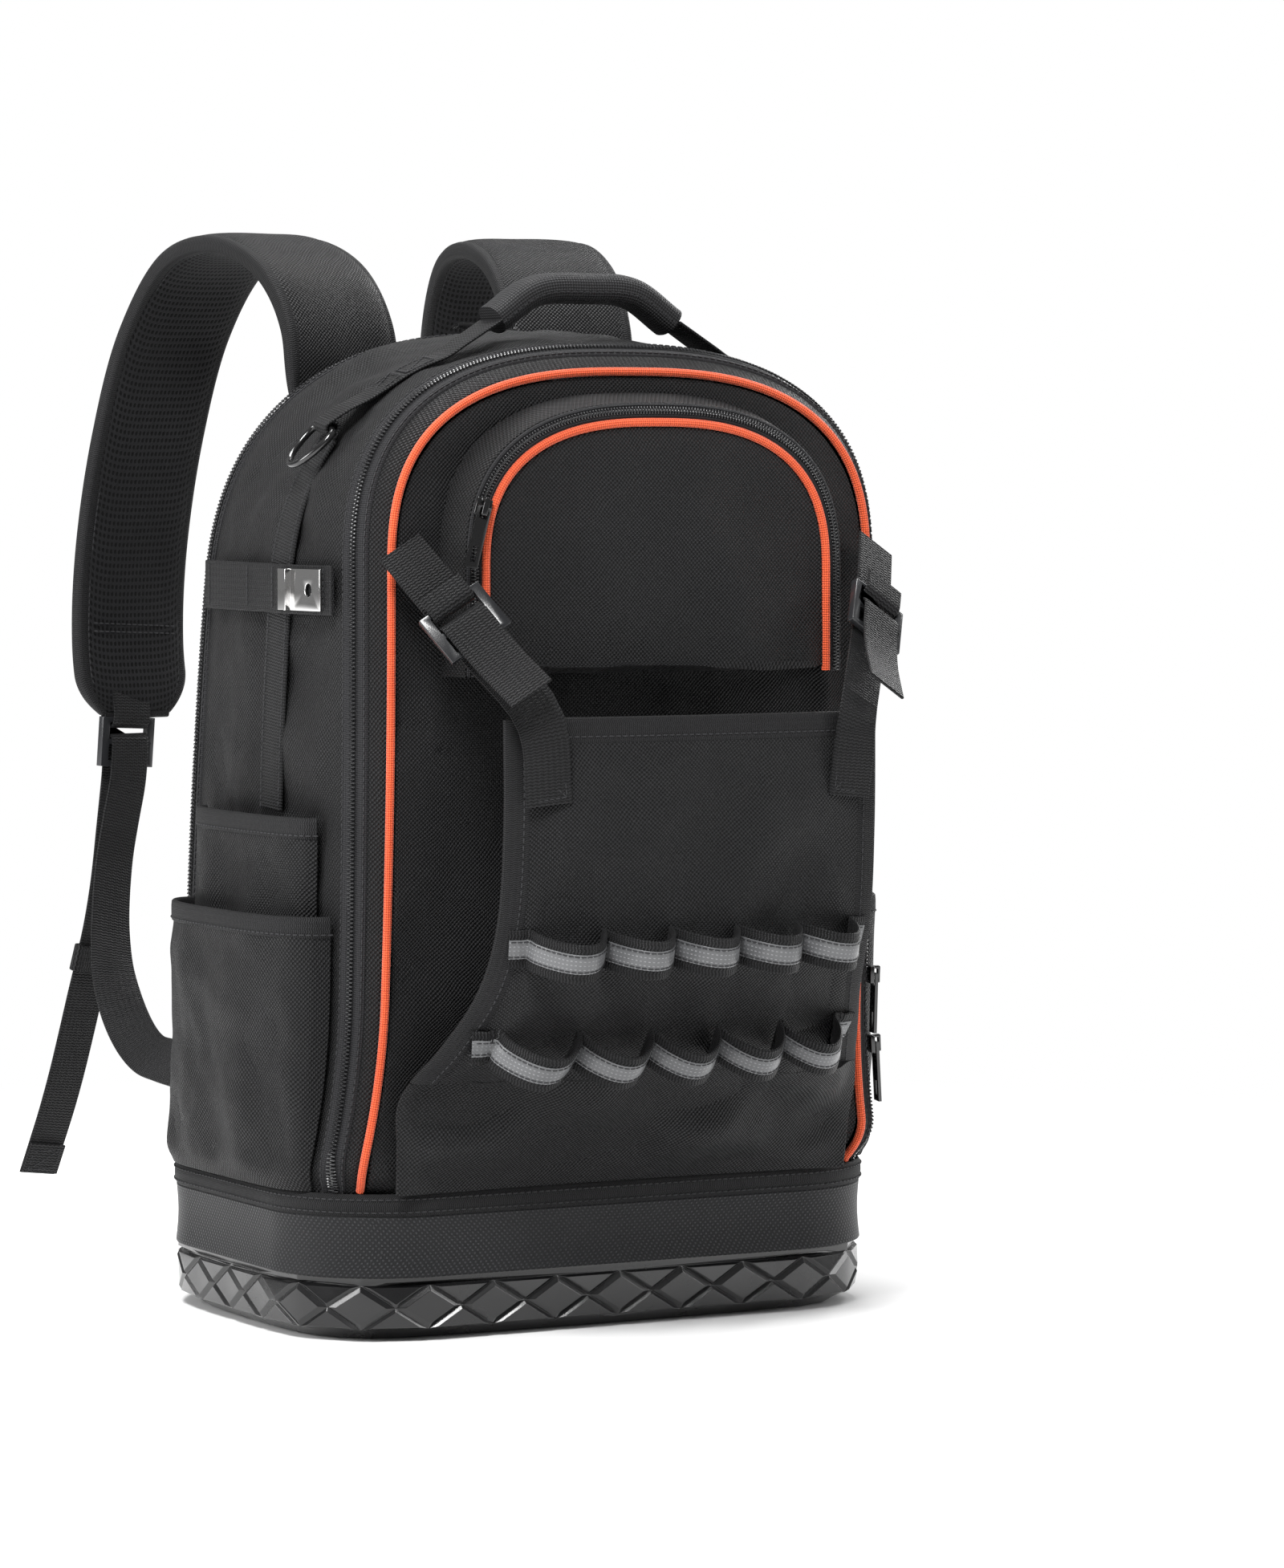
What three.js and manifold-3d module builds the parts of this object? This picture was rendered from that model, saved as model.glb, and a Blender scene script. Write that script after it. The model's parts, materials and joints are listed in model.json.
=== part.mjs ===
// A soft-sided tool backpack that stands on a moulded rubber tray.
// Millimetres, +Z up, +X to the right of someone who faces the front, and the front faces -Y.
// The origin is the middle of the tray's flat underside.
import * as THREE from "three";
import Module from "manifold-3d";

const wasm = await Module();
wasm.setup();

const CLEARANCE = 0.3; // between pieces that touch
const CLOTH = 2; // wall of coated pack cloth
const WEBBING = 1.6; // thickness of all webbing
const WEB_WIDTH = 25; // wide webbing: handle, cinch straps, side straps
const PIPING_RADIUS = 2.2;

// Moulded base
const BASE_WIDTH = 340;
const BASE_DEPTH = 224;
const BASE_CORNER = 62;
const TRAY_HEIGHT = 33;
const TRAY_WALL = 4;
const TRAY_EDGE_RADIUS = 11;
const TREAD_BLOCKS = 28;
const TREAD_RELIEF = 1.8;
const TREAD_FOOT = 6;
const TREAD_HEAD = 28.5;
const TREAD_TOP_SHARE = 0.74;
const BAND_HEIGHT = 30;
const BAND_WALL = 2.4;
const BINDING_HEIGHT = 12;
const BINDING_PROUD = 0.8;

// Body
const BODY_WIDTH = 304;
const BODY_HEIGHT = 508;
const FLARE = 15;
const FLARE_HEIGHT = 110;
const GUSSET_FULLNESS = 3;
const ZIP_WIDTH = 19;
const ZIP_TAPE = 1.4;
const ZIP_TEETH_WIDTH = 6;
const ZIP_TEETH_HEIGHT = 1.8;
const BACK_PAD = 9;
const PANEL_BULGE = 6;

// Upper front pocket
const POCKET_WIDTH = 196;
const POCKET_HEIGHT = 126;
const POCKET_DROP = 46; // from the body's top to the pocket's
const POCKET_DEPTH = 22;
const POCKET_SPREAD = 15;

// Sling pocket at the front
const SLING_TOP = 316;
const SLING_WIDTH = 268;
const SLING_DEPTH = 84;
const SLING_BINDING = 12;
const SLING_BINDING_WALL = 3;
const LOOP_COUNT = 5;
const LOOP_WEB = 20;
const UPPER_LOOP_HEIGHT = 203;
const UPPER_LOOP_DEPTH = 25;
const UPPER_LOOP_SPAN = 184;
const LOWER_LOOP_HEIGHT = 153;
const LOWER_LOOP_DEPTH = 23;
const LOWER_LOOP_SPAN = 196;

// Side pockets
const SIDE_POCKET_OUTER_TOP = 213;
const SIDE_POCKET_OUTER_DEPTH = 27;
const SIDE_POCKET_INNER_TOP = 262;
const SIDE_POCKET_INNER_DEPTH = 14;
const TAPE_STRAP_DROP = 130; // from the body's top to the middle of the strap

// Straps and hardware
const PAD_WIDTH = 70;
const PAD_THICKNESS = 13;
const STRAP_REACH = 177;
const WEBBING_FOOT = 122;
const GRIP_WIDTH = 23;
const GRIP_THICKNESS = 16;
const GRIP_LENGTH = 118;
const GRIP_RISE = 13;
const GRIP_ARCH = 22;
const RING_WIRE_RADIUS = 2;
const RING_WIDTH = 34;
const RING_REACH = 27;
const RING_HANG = 0.12; // how far the ring stands off the bag, in radians
const BUCKLE_FRAME = 5;
const BUCKLE_THICKNESS = 4.2;

const BASE_TOP = TRAY_HEIGHT + BAND_HEIGHT + BINDING_HEIGHT;
const BODY_FOOT = BASE_TOP - 10;
const POCKET_TOP = BODY_HEIGHT - POCKET_DROP;
const POCKET_FOOT = POCKET_TOP - POCKET_HEIGHT;
const TAPE_STRAP_HEIGHT = BODY_HEIGHT - TAPE_STRAP_DROP;
const ARCH_STEPS = 14;
const LEG_SHARE = 0.5; // share of each half outline that is the straight leg

const cloth = (color, roughness = 0.85) =>
  new THREE.MeshStandardMaterial({ color, roughness, metalness: 0 });
const MATERIALS = {
  packCloth: cloth(0x17181a),
  webbing: cloth(0x101112, 0.8),
  mesh: cloth(0x0c0d0e, 0.95),
  piping: cloth(0xe8542c, 0.7),
  zip: cloth(0x1b1c1e, 0.5),
  rubber: cloth(0x0d0e0f, 0.35),
  plastic: cloth(0x151618, 0.45),
  blackMetal: new THREE.MeshStandardMaterial({ color: 0x1c1c1e, roughness: 0.3, metalness: 0.9 }),
  steel: new THREE.MeshStandardMaterial({ color: 0xb9bcc0, roughness: 0.2, metalness: 1 }),
};

const backpack = new THREE.Group();

function add(name, geometry, material) {
  const mesh = new THREE.Mesh(geometry, material);
  mesh.name = name;
  backpack.add(mesh);
  return mesh;
}

const vec = (x, y, z) => new THREE.Vector3(x, y, z);
const lerp = THREE.MathUtils.lerp;
const steps = (count, from = 0, to = 1) =>
  Array.from({ length: count + 1 }, (_, i) => lerp(from, to, i / count));

function geometryOf(points, triangles) {
  const geometry = new THREE.BufferGeometry();
  geometry.setAttribute("position", new THREE.Float32BufferAttribute(points.flatMap((p) => p.toArray()), 3));
  geometry.setIndex(triangles.flat());
  return geometry;
}

// The unit normals of a grid of points, one row after another.
function gridNormals(rows, closed) {
  return rows.map((row, i) =>
    row.map((_, j) => {
      const last = row.length - 1;
      const before = closed ? (j + last) % row.length : Math.max(j - 1, 0);
      const after = closed ? (j + 1) % row.length : Math.min(j + 1, last);
      const across = row[after].clone().sub(row[before]);
      const up = rows[Math.min(i + 1, rows.length - 1)][j].clone().sub(rows[Math.max(i - 1, 0)][j]);
      return across.cross(up).normalize();
    }),
  );
}

// A sheet under a grid of points. Seen from outside, the points of a row run to the right and
// the rows run upwards. The wall grows inwards, and relief(i, j) lifts the outside.
function sheet(rows, thickness, { closed = false, relief = () => 0, normals = gridNormals(rows, closed) } = {}) {
  const width = rows[0].length;
  const outer = rows.flatMap((row, i) => row.map((p, j) => p.clone().addScaledVector(normals[i][j], relief(i, j))));
  const inner = rows.flatMap((row, i) => row.map((p, j) => p.clone().addScaledVector(normals[i][j], -thickness)));
  const under = outer.length;
  const triangles = [];
  const quad = (a, b, c, d) => triangles.push([a, b, c], [a, c, d]);
  const lastColumn = closed ? width : width - 1;
  for (let i = 0; i < rows.length - 1; i++) {
    for (let j = 0; j < lastColumn; j++) {
      const [a, b] = [i * width + j, i * width + ((j + 1) % width)];
      const [c, d] = [b + width, a + width];
      quad(a, b, c, d);
      quad(under + a, under + d, under + c, under + b);
    }
  }
  const top = (rows.length - 1) * width;
  for (let j = 0; j < lastColumn; j++) {
    const next = (j + 1) % width;
    quad(j, under + j, under + next, next);
    quad(top + j, top + next, under + top + next, under + top + j);
  }
  if (!closed) {
    for (let i = 0; i < rows.length - 1; i++) {
      const [a, d] = [i * width, (i + 1) * width];
      const [b, c] = [a + width - 1, d + width - 1];
      quad(a, d, under + d, under + a);
      quad(b, under + b, under + c, c);
    }
  }
  return geometryOf([...outer, ...inner], triangles);
}

// A section swept along points. The section's first number runs along axis, the direction
// across the strap, and its second one through the strap. axis may be one for each point.
function sweep(points, axis, section, closed = false) {
  const count = points.length;
  const rings = points.map((p, i) => {
    const before = points[closed ? (i + count - 1) % count : Math.max(i - 1, 0)];
    const after = points[closed ? (i + 1) % count : Math.min(i + 1, count - 1)];
    const tangent = after.clone().sub(before).normalize();
    const wanted = Array.isArray(axis) ? axis[i] : axis;
    const across = wanted.clone().addScaledVector(tangent, -wanted.dot(tangent)).normalize();
    const normal = across.clone().cross(tangent);
    return section.map(([w, n]) => p.clone().addScaledVector(across, w).addScaledVector(normal, n));
  });
  const size = section.length;
  const triangles = [];
  const turns = closed ? count : count - 1;
  for (let i = 0; i < turns; i++) {
    for (let j = 0; j < size; j++) {
      const [a, b] = [i * size + j, i * size + ((j + 1) % size)];
      const [c, d] = [((i + 1) % count) * size + ((j + 1) % size), ((i + 1) % count) * size + j];
      triangles.push([a, c, b], [a, d, c]);
    }
  }
  if (!closed) {
    const end = (count - 1) * size;
    for (let j = 1; j < size - 1; j++) triangles.push([0, j, j + 1], [end, end + j + 1, end + j]);
  }
  return geometryOf(rings.flat(), triangles);
}

// Sections for sweep, wound so that the swept faces point outwards.
const strapSection = (width, thickness) => [
  [-width / 2, -thickness / 2],
  [width / 2, -thickness / 2],
  [width / 2, thickness / 2],
  [-width / 2, thickness / 2],
];
const ovalSection = (width, thickness, sides, power = 2) =>
  steps(sides).slice(0, -1).map((share) => {
    const turn = share * Math.PI * 2;
    const [c, s] = [Math.cos(turn), Math.sin(turn)];
    const scale = (Math.abs(c) ** power + Math.abs(s) ** power) ** (-1 / power);
    return [(width / 2) * c * scale, (thickness / 2) * s * scale];
  });

const smoothPath = (points, count) => new THREE.CatmullRomCurve3(points, false, "centripetal").getPoints(count);

function mirrored(geometry) {
  const flipped = geometry.clone().scale(-1, 1, 1);
  const order = Array.from(flipped.index.array);
  for (let i = 0; i < order.length; i += 3) [order[i + 1], order[i + 2]] = [order[i + 2], order[i + 1]];
  return flipped.setIndex(order);
}

function addPair(name, leftGeometry, material) {
  add(name + "_left", leftGeometry, material);
  add(name + "_right", mirrored(leftGeometry), material);
}

function toSolid(geometry) {
  const bare = new THREE.BufferGeometry().setAttribute("position", geometry.getAttribute("position"));
  if (geometry.index) bare.setIndex(geometry.index);
  const flat = bare.index ? bare.toNonIndexed() : bare;
  const places = new Map();
  const vertices = [];
  const order = [];
  const position = flat.getAttribute("position");
  for (let i = 0; i < position.count; i++) {
    const corner = [position.getX(i), position.getY(i), position.getZ(i)];
    const key = corner.map((value) => Math.round(value * 1e4)).join(" ");
    if (!places.has(key)) {
      places.set(key, vertices.length / 3);
      vertices.push(...corner);
    }
    order.push(places.get(key));
  }
  return new wasm.Manifold(
    new wasm.Mesh({ numProp: 3, vertProperties: Float32Array.from(vertices), triVerts: Uint32Array.from(order) }),
  );
}

function fromSolid(solid) {
  const mesh = solid.getMesh();
  const geometry = new THREE.BufferGeometry();
  geometry.setAttribute("position", new THREE.Float32BufferAttribute(mesh.vertProperties, 3));
  return geometry.setIndex(Array.from(mesh.triVerts));
}

const joined = (...geometries) =>
  fromSolid(geometries.map(toSolid).reduce((whole, piece) => whole.add(piece)));

// A box from one corner to the other.
function block(low, high) {
  const size = high.map((value, i) => value - low[i]);
  const box = new THREE.BoxGeometry(...size);
  return box.translate(...low.map((value, i) => value + size[i] / 2));
}

// Body outline. depth is a share of BASE_DEPTH at the foot, waist and head, width of BODY_WIDTH,
// and height and arch of BODY_HEIGHT. power is how square the arch is.
const SECTIONS = [
  { at: 0.0, foot: 0.455, waist: 0.43, head: 0.225, width: 0.915, height: 0.97, arch: 0.25, power: 2.5 },
  { at: 0.105, foot: 0.41, waist: 0.345, head: 0.15, width: 0.99, height: 1.0, arch: 0.26, power: 2.45 },
  { at: 0.5, foot: 0.0, waist: -0.05, head: -0.14, width: 1.0, height: 1.0, arch: 0.26, power: 2.3 },
  { at: 0.905, foot: -0.43, waist: -0.475, head: -0.465, width: 0.985, height: 0.985, arch: 0.22, power: 2.6 },
  { at: 1.0, foot: -0.478, waist: -0.55, head: -0.545, width: 0.905, height: 0.96, arch: 0.2, power: 2.7 },
];
const SKIN_LENGTH = 236; // of the body's side from its back face to the front piping
const skinShare = (length) => length / SKIN_LENGTH;
const REAR_ZIP_AT = SECTIONS[1].at;
const FRONT_ZIP_AT = SECTIONS[3].at;

// A column of a table at a place along it, on a smooth curve through its rows.
function column(table, key, at) {
  const last = table.length - 1;
  let i = 0;
  while (i < last - 1 && at > table[i + 1].at) i++;
  const [low, high] = [table[i], table[i + 1]];
  const slope = (k) => {
    const [a, b] = [table[Math.max(k - 1, 0)], table[Math.min(k + 1, last)]];
    return (b[key] - a[key]) / (b.at - a.at);
  };
  const span = high.at - low.at;
  const t = THREE.MathUtils.clamp((at - low.at) / span, 0, 1);
  const [t2, t3] = [t * t, t * t * t];
  return (
    low[key] * (2 * t3 - 3 * t2 + 1) +
    high[key] * (3 * t2 - 2 * t3) +
    slope(i) * span * (t3 - 2 * t2 + t) +
    slope(i + 1) * span * (t3 - t2)
  );
}

function sectionAt(at) {
  const value = (key) => column(SECTIONS, key, at);
  const fullness = GUSSET_FULLNESS * Math.sin(Math.PI * at) ** 2;
  return {
    foot: value("foot") * BASE_DEPTH,
    waist: value("waist") * BASE_DEPTH,
    head: value("head") * BASE_DEPTH,
    half: (value("width") * BODY_WIDTH) / 2 + fullness,
    top: value("height") * BODY_HEIGHT,
    arch: value("arch") * BODY_HEIGHT,
    power: value("power"),
  };
}

// Depth at a height, on the parabola through the foot, waist and head.
function depthAt(section, z) {
  const t = (z - BODY_FOOT) / (BODY_HEIGHT - BODY_FOOT);
  const { foot, waist, head } = section;
  return foot * (1 - t) * (1 - 2 * t) + waist * 4 * t * (1 - t) + head * t * (2 * t - 1);
}

const flareAt = (z) => FLARE * Math.max(0, 1 - (z - BODY_FOOT) / FLARE_HEIGHT) ** 2;

// Keeps a point of the body inside the base, and lets it spread above the base's binding.
const TUCK = 3.4;
const TUCK_SPREAD = 0.9;
function tucked(point, extra = 0) {
  const inset = TUCK + extra - Math.max(0, point.z - BASE_TOP - 2) * TUCK_SPREAD;
  const [cornerX, cornerY] = [BASE_WIDTH / 2 - BASE_CORNER, BASE_DEPTH / 2 - BASE_CORNER];
  const nearX = THREE.MathUtils.clamp(point.x, -cornerX, cornerX);
  const nearY = THREE.MathUtils.clamp(point.y, -cornerY, cornerY);
  const [outX, outY] = [point.x - nearX, point.y - nearY];
  const reach = Math.hypot(outX, outY);
  const limit = BASE_CORNER - inset;
  const scale = reach > limit ? limit / reach : 1;
  return vec(nearX + outX * scale, nearY + outY * scale, point.z);
}

// The arch's outline at turn 0 (shoulder) to a quarter turn (top middle).
function archPoint(section, turn) {
  return [
    section.half * Math.cos(turn) ** (2 / section.power),
    section.top - section.arch + section.arch * Math.sin(turn) ** (2 / section.power),
  ];
}

// A point of the body's side: at runs from the back face to the front piping, and round from
// the left foot over the top to the right foot.
function skin(at, round) {
  const section = sectionAt(at);
  const side = round < 0.5 ? -1 : 1;
  const half = Math.min(round, 1 - round) * 2;
  const shoulder = section.top - section.arch;
  let [x, z] = [section.half, lerp(BODY_FOOT, shoulder, half / LEG_SHARE)];
  if (half > LEG_SHARE) {
    const turn = ((half - LEG_SHARE) / (1 - LEG_SHARE)) * (Math.PI / 2);
    [x, z] = archPoint(section, Math.min(turn, Math.PI / 2));
  }
  return tucked(vec(side * (Math.max(x, 0) + flareAt(z)), depthAt(section, z), z));
}

function skinNormal(at, round) {
  const e = 0.004;
  const along = skin(Math.min(at + e, 1), round).sub(skin(Math.max(at - e, 0), round));
  const around = skin(at, Math.min(round + e, 1)).sub(skin(at, Math.max(round - e, 0)));
  return along.cross(around).normalize();
}

const skinOff = (at, round, height) => skin(at, round).addScaledVector(skinNormal(at, round), height);

// Where on the left leg of the outline a height is.
function roundAtHeight(at, z) {
  const section = sectionAt(at);
  return ((z - BODY_FOOT) / (section.top - section.arch - BODY_FOOT)) * (LEG_SHARE / 2);
}

const LEG_ROUNDS = [0, 0.042, 0.12, 0.24, 0.42, 0.7, 1].map((share) => (share * LEG_SHARE) / 2);
const ARCH_ROUNDS = steps(ARCH_STEPS, LEG_SHARE / 2, 1 - LEG_SHARE / 2);
const ROUNDS = [...LEG_ROUNDS, ...ARCH_ROUNDS.slice(1), ...LEG_ROUNDS.slice(0, -1).reverse().map((r) => 1 - r)];

// The place that lies a distance short of the front piping.
function placeShortOf(round, distance) {
  const end = skin(1, round);
  let at = 1;
  while (skin(at, round).distanceTo(end) < distance) at -= 0.001;
  return at;
}

// A strip of the body's side between two places. Rows run round the bag and points along it.
function skinStrip(places, thickness, relief) {
  const grid = (point) =>
    ROUNDS.map((round) => places.map((at) => point(typeof at === "function" ? at(round) : at, round)));
  const rows = grid(skin);
  const normals = grid(skinNormal);
  return sheet(rows, thickness, { relief, normals });
}

function base() {
  const outline = (inset, count, shift = 0) => {
    const straightX = BASE_WIDTH - 2 * BASE_CORNER;
    const straightY = BASE_DEPTH - 2 * BASE_CORNER;
    const quarter = (Math.PI / 2) * BASE_CORNER;
    const lengths = [straightX, quarter, straightY, quarter, straightX, quarter, straightY, quarter];
    const total = lengths.reduce((sum, length) => sum + length, 0);
    return Array.from({ length: count }, (_, i) => {
      let left = (((i + shift) / count) * total + straightX / 2) % total;
      let stretch = 0;
      while (left > lengths[stretch]) left -= lengths[stretch++];
      const corner = Math.floor(stretch / 2);
      const isArc = stretch % 2 === 1;
      const turn = (corner + (isArc ? left / quarter : 0)) * (Math.PI / 2) - Math.PI / 2;
      const cornersX = [1, 1, -1, -1];
      const cornersY = [-1, 1, 1, -1];
      const centre = vec((cornersX[corner] * straightX) / 2, (cornersY[corner] * straightY) / 2, 0);
      const outward = vec(Math.cos(turn), Math.sin(turn), 0);
      const back = isArc ? 0 : lengths[stretch] - left;
      return centre.addScaledVector(outward, BASE_CORNER - inset).addScaledVector(vec(outward.y, -outward.x, 0), back);
    });
  };
  const ring = (inset, z, count, shift) => outline(inset, count, shift).map((p) => p.setZ(z));

  // The tray: an open cup whose outside carries rows of raised diamond blocks.
  const edgeInset = (z) => {
    const below = Math.max(0, TRAY_EDGE_RADIUS - z);
    return TRAY_EDGE_RADIUS - Math.sqrt(TRAY_EDGE_RADIUS ** 2 - below ** 2) + TREAD_RELIEF;
  };
  const points = [];
  const triangles = [];
  const place = (p) => points.push(p) - 1;
  const placeRing = (inset, z, shift = 0) => ring(inset, z, TREAD_BLOCKS, shift).map(place);
  const join = (low, high) =>
    low.forEach((a, i) => {
      const next = (i + 1) % low.length;
      triangles.push([a, low[next], high[next]], [a, high[next], high[i]]);
    });
  const treadMiddle = (TREAD_FOOT + TREAD_HEAD) / 2;
  const underside = place(vec(0, 0, 0));
  const sole = placeRing(edgeInset(0), 0);
  const foot = placeRing(edgeInset(TREAD_FOOT), TREAD_FOOT);
  const middle = placeRing(edgeInset(treadMiddle), treadMiddle, 0.5);
  const head = placeRing(edgeInset(TREAD_HEAD), TREAD_HEAD);
  const lip = placeRing(1, TREAD_HEAD + 1.5);
  const rim = placeRing(1, TRAY_HEIGHT);
  const inside = placeRing(1 + TRAY_WALL, TRAY_HEIGHT);
  const floor = placeRing(TRAY_EDGE_RADIUS + TRAY_WALL, TRAY_WALL);
  const floorMiddle = place(vec(0, 0, TRAY_WALL));
  const treadBlock = (corners) => {
    const centre = corners.reduce((sum, i) => sum.add(points[i]), vec(0, 0, 0)).divideScalar(corners.length);
    const outward = vec(...[0, 1].map((axis) => centre.getComponent(axis)), 0);
    const core = vec(
      THREE.MathUtils.clamp(centre.x, BASE_CORNER - BASE_WIDTH / 2, BASE_WIDTH / 2 - BASE_CORNER),
      THREE.MathUtils.clamp(centre.y, BASE_CORNER - BASE_DEPTH / 2, BASE_DEPTH / 2 - BASE_CORNER),
      0,
    );
    outward.sub(core).normalize();
    const top = corners.map((i) =>
      place(centre.clone().lerp(points[i], TREAD_TOP_SHARE).addScaledVector(outward, TREAD_RELIEF)),
    );
    corners.forEach((a, i) => {
      const next = (i + 1) % corners.length;
      triangles.push([a, corners[next], top[next]], [a, top[next], top[i]]);
    });
    for (let i = 1; i < top.length - 1; i++) triangles.push([top[0], top[i], top[i + 1]]);
  };
  sole.forEach((a, i) => triangles.push([underside, sole[(i + 1) % sole.length], a]));
  join(sole, foot);
  foot.forEach((_, i) => {
    const next = (i + 1) % foot.length;
    treadBlock([foot[i], foot[next], middle[i]]);
    treadBlock([foot[next], middle[next], head[next], middle[i]]);
    treadBlock([head[i], middle[i], head[next]]);
  });
  join(head, lip);
  join(lip, rim);
  join(rim, inside);
  join(inside, floor);
  floor.forEach((a, i) => triangles.push([a, floor[(i + 1) % floor.length], floorMiddle]));
  add("base_tray", geometryOf(points, triangles), MATERIALS.rubber);

  // The coated band and the webbing that binds its top edge.
  const BAND_POINTS = 48;
  const bandFoot = TRAY_HEIGHT + CLEARANCE;
  const bandTop = TRAY_HEIGHT + BAND_HEIGHT;
  const band = [ring(0, bandFoot, BAND_POINTS), ring(1, (bandFoot + bandTop) / 2, BAND_POINTS), ring(0.4, bandTop, BAND_POINTS)];
  add("base_band", sheet(band, BAND_WALL, { closed: true }), MATERIALS.packCloth);
  const binding = [bandTop + CLEARANCE, BASE_TOP].map((z) => ring(-BINDING_PROUD, z, BAND_POINTS));
  add("base_binding", sheet(binding, WEBBING, { closed: true }), MATERIALS.webbing);
}

// A flat-backed panel that fills the body's outline at one place, drawn in by inset.
function facePanel(at, inset, bulge, facing, thickness) {
  const section = sectionAt(at);
  const columns = ARCH_ROUNDS.map((round) => {
    const half = Math.min(round, 1 - round) * 2;
    const turn = ((half - LEG_SHARE) / (1 - LEG_SHARE)) * (Math.PI / 2);
    const [x, top] = archPoint(section, Math.min(turn, Math.PI / 2));
    const side = round < 0.5 ? -1 : 1;
    return { x: side * Math.max(x, 0), top: top - inset };
  });
  const rows = steps(6).map((t) =>
    columns.map(({ x, top }) => {
      const z = lerp(BODY_FOOT, top, t);
      const across = x / section.half;
      const narrow = (section.half - inset + flareAt(z)) / section.half;
      const out = bulge * (1 - across * across) * Math.sin(Math.PI * Math.min(1, 0.15 + 0.85 * t)) ** 0.5;
      return tucked(vec(x * narrow, depthAt(section, z) + facing * out, z), 4);
    }),
  );
  if (facing > 0) rows.forEach((row) => row.reverse());
  return sheet(rows, thickness);
}

// Depth of the front panel's face at a place.
function frontFace(x, z) {
  const front = sectionAt(1);
  const across = Math.min(Math.abs(x) / front.half, 0.99);
  const top = front.top - front.arch * (1 - (1 - across ** front.power) ** (1 / front.power));
  const t = Math.min(1, (z - BODY_FOOT) / (top - BODY_FOOT));
  const out = PANEL_BULGE * (1 - across * across) * Math.sin(Math.PI * Math.min(1, 0.15 + 0.85 * t)) ** 0.5;
  return depthAt(front, z) - out;
}

// Teeth stand up in the middle of a zip's tape.
const ZIP_PLACES = [-ZIP_WIDTH / 2, -ZIP_TEETH_WIDTH / 2 - 0.4, -ZIP_TEETH_WIDTH / 2, ZIP_TEETH_WIDTH / 2, ZIP_TEETH_WIDTH / 2 + 0.4, ZIP_WIDTH / 2];
const isTeeth = (j) => j === 2 || j === 3;
const pocketZipRelief = (_, j) => (isTeeth(j) ? ZIP_TEETH_HEIGHT : 0);
const zipRelief = (i, j) => (i > 1 && i < ROUNDS.length - 2 ? pocketZipRelief(i, j) : 0);

function body() {
  const gap = skinShare(CLEARANCE);
  const halfZip = skinShare(ZIP_WIDTH / 2);
  const zipPlaces = (centre) => ZIP_PLACES.map((place) => centre + skinShare(place));
  add("back_rim", skinStrip([0, REAR_ZIP_AT - halfZip - gap], CLOTH), MATERIALS.packCloth);
  add("rear_zip", skinStrip(zipPlaces(REAR_ZIP_AT), ZIP_TAPE, zipRelief), MATERIALS.zip);
  const gussetPlaces = steps(4, REAR_ZIP_AT + halfZip + gap, FRONT_ZIP_AT - halfZip - gap);
  add("main_gusset", skinStrip(gussetPlaces, CLOTH), MATERIALS.packCloth);
  add("front_zip", skinStrip(zipPlaces(FRONT_ZIP_AT), ZIP_TAPE, zipRelief), MATERIALS.zip);
  const pipingRoom = PIPING_RADIUS + CLEARANCE;
  const borderFrom = FRONT_ZIP_AT + halfZip + gap;
  add("front_border", skinStrip([borderFrom, (round) => placeShortOf(round, pipingRoom)], CLOTH), MATERIALS.packCloth);
  const seamFoot = roundAtHeight(1, BASE_TOP + PIPING_RADIUS / 2 + CLEARANCE);
  const seamRounds = [seamFoot, ...ROUNDS.slice(2, -2), 1 - seamFoot];
  const seam = seamRounds.map((round) => skin(1, round));
  const cord = sweep(seam, vec(0, 1, 0), ovalSection(2 * PIPING_RADIUS, 2 * PIPING_RADIUS, 6));
  add("outer_piping", cord, MATERIALS.piping);
  add("front_panel", facePanel(1, pipingRoom + 0.6, PANEL_BULGE, -1, CLOTH), MATERIALS.packCloth);
  add("back_panel", facePanel(0, 2 * CLEARANCE + CLOTH, PANEL_BULGE, 1, BACK_PAD), MATERIALS.mesh);
}

// The upper front pocket stands on the front panel: a side wall, a zip, piping and a face.
// Each row is one line round it: spread is how far it lies outside the face's edge, as a share
// of POCKET_SPREAD, and rise its height over the front panel, as a share of POCKET_DEPTH.
const POCKET_LINES = {
  wallFoot: { spread: 1, rise: 0 },
  wallTop: { spread: 0.66, rise: 0.86 },
  zipOuter: { spread: 0.62, rise: 0.95 },
  zipInner: { spread: 0.16, rise: 0.99 },
  face: { spread: 0, rise: 1 },
};
const POCKET_SEAT = 4 * CLEARANCE;
const POCKET_SHAPE = { arch: 0.6, power: 2.6 };

// The pocket zip's line at a share of its width.
const pocketZipAt = (share) => ({
  spread: lerp(POCKET_LINES.zipOuter.spread, POCKET_LINES.zipInner.spread, share),
  rise: lerp(POCKET_LINES.zipOuter.rise, POCKET_LINES.zipInner.rise, share),
});

function pocketLine({ spread, rise }, inset = 0) {
  const out = spread * POCKET_SPREAD - inset;
  const arch = {
    half: POCKET_WIDTH / 2 + out,
    top: POCKET_TOP + out,
    arch: POCKET_SHAPE.arch * POCKET_HEIGHT + out,
    power: POCKET_SHAPE.power,
  };
  return (round, footRise = 0) => {
    const side = round < 0.5 ? -1 : 1;
    const half = Math.min(round, 1 - round) * 2;
    const shoulder = arch.top - arch.arch;
    let [x, z] = [arch.half, lerp(POCKET_FOOT + footRise, shoulder, half / LEG_SHARE)];
    if (half > LEG_SHARE) {
      const turn = ((half - LEG_SHARE) / (1 - LEG_SHARE)) * (Math.PI / 2);
      [x, z] = archPoint(arch, Math.min(turn, Math.PI / 2));
    }
    return vec(side * Math.max(x, 0), frontFace(x, z) - POCKET_SEAT - rise * POCKET_DEPTH, z);
  };
}

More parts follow.
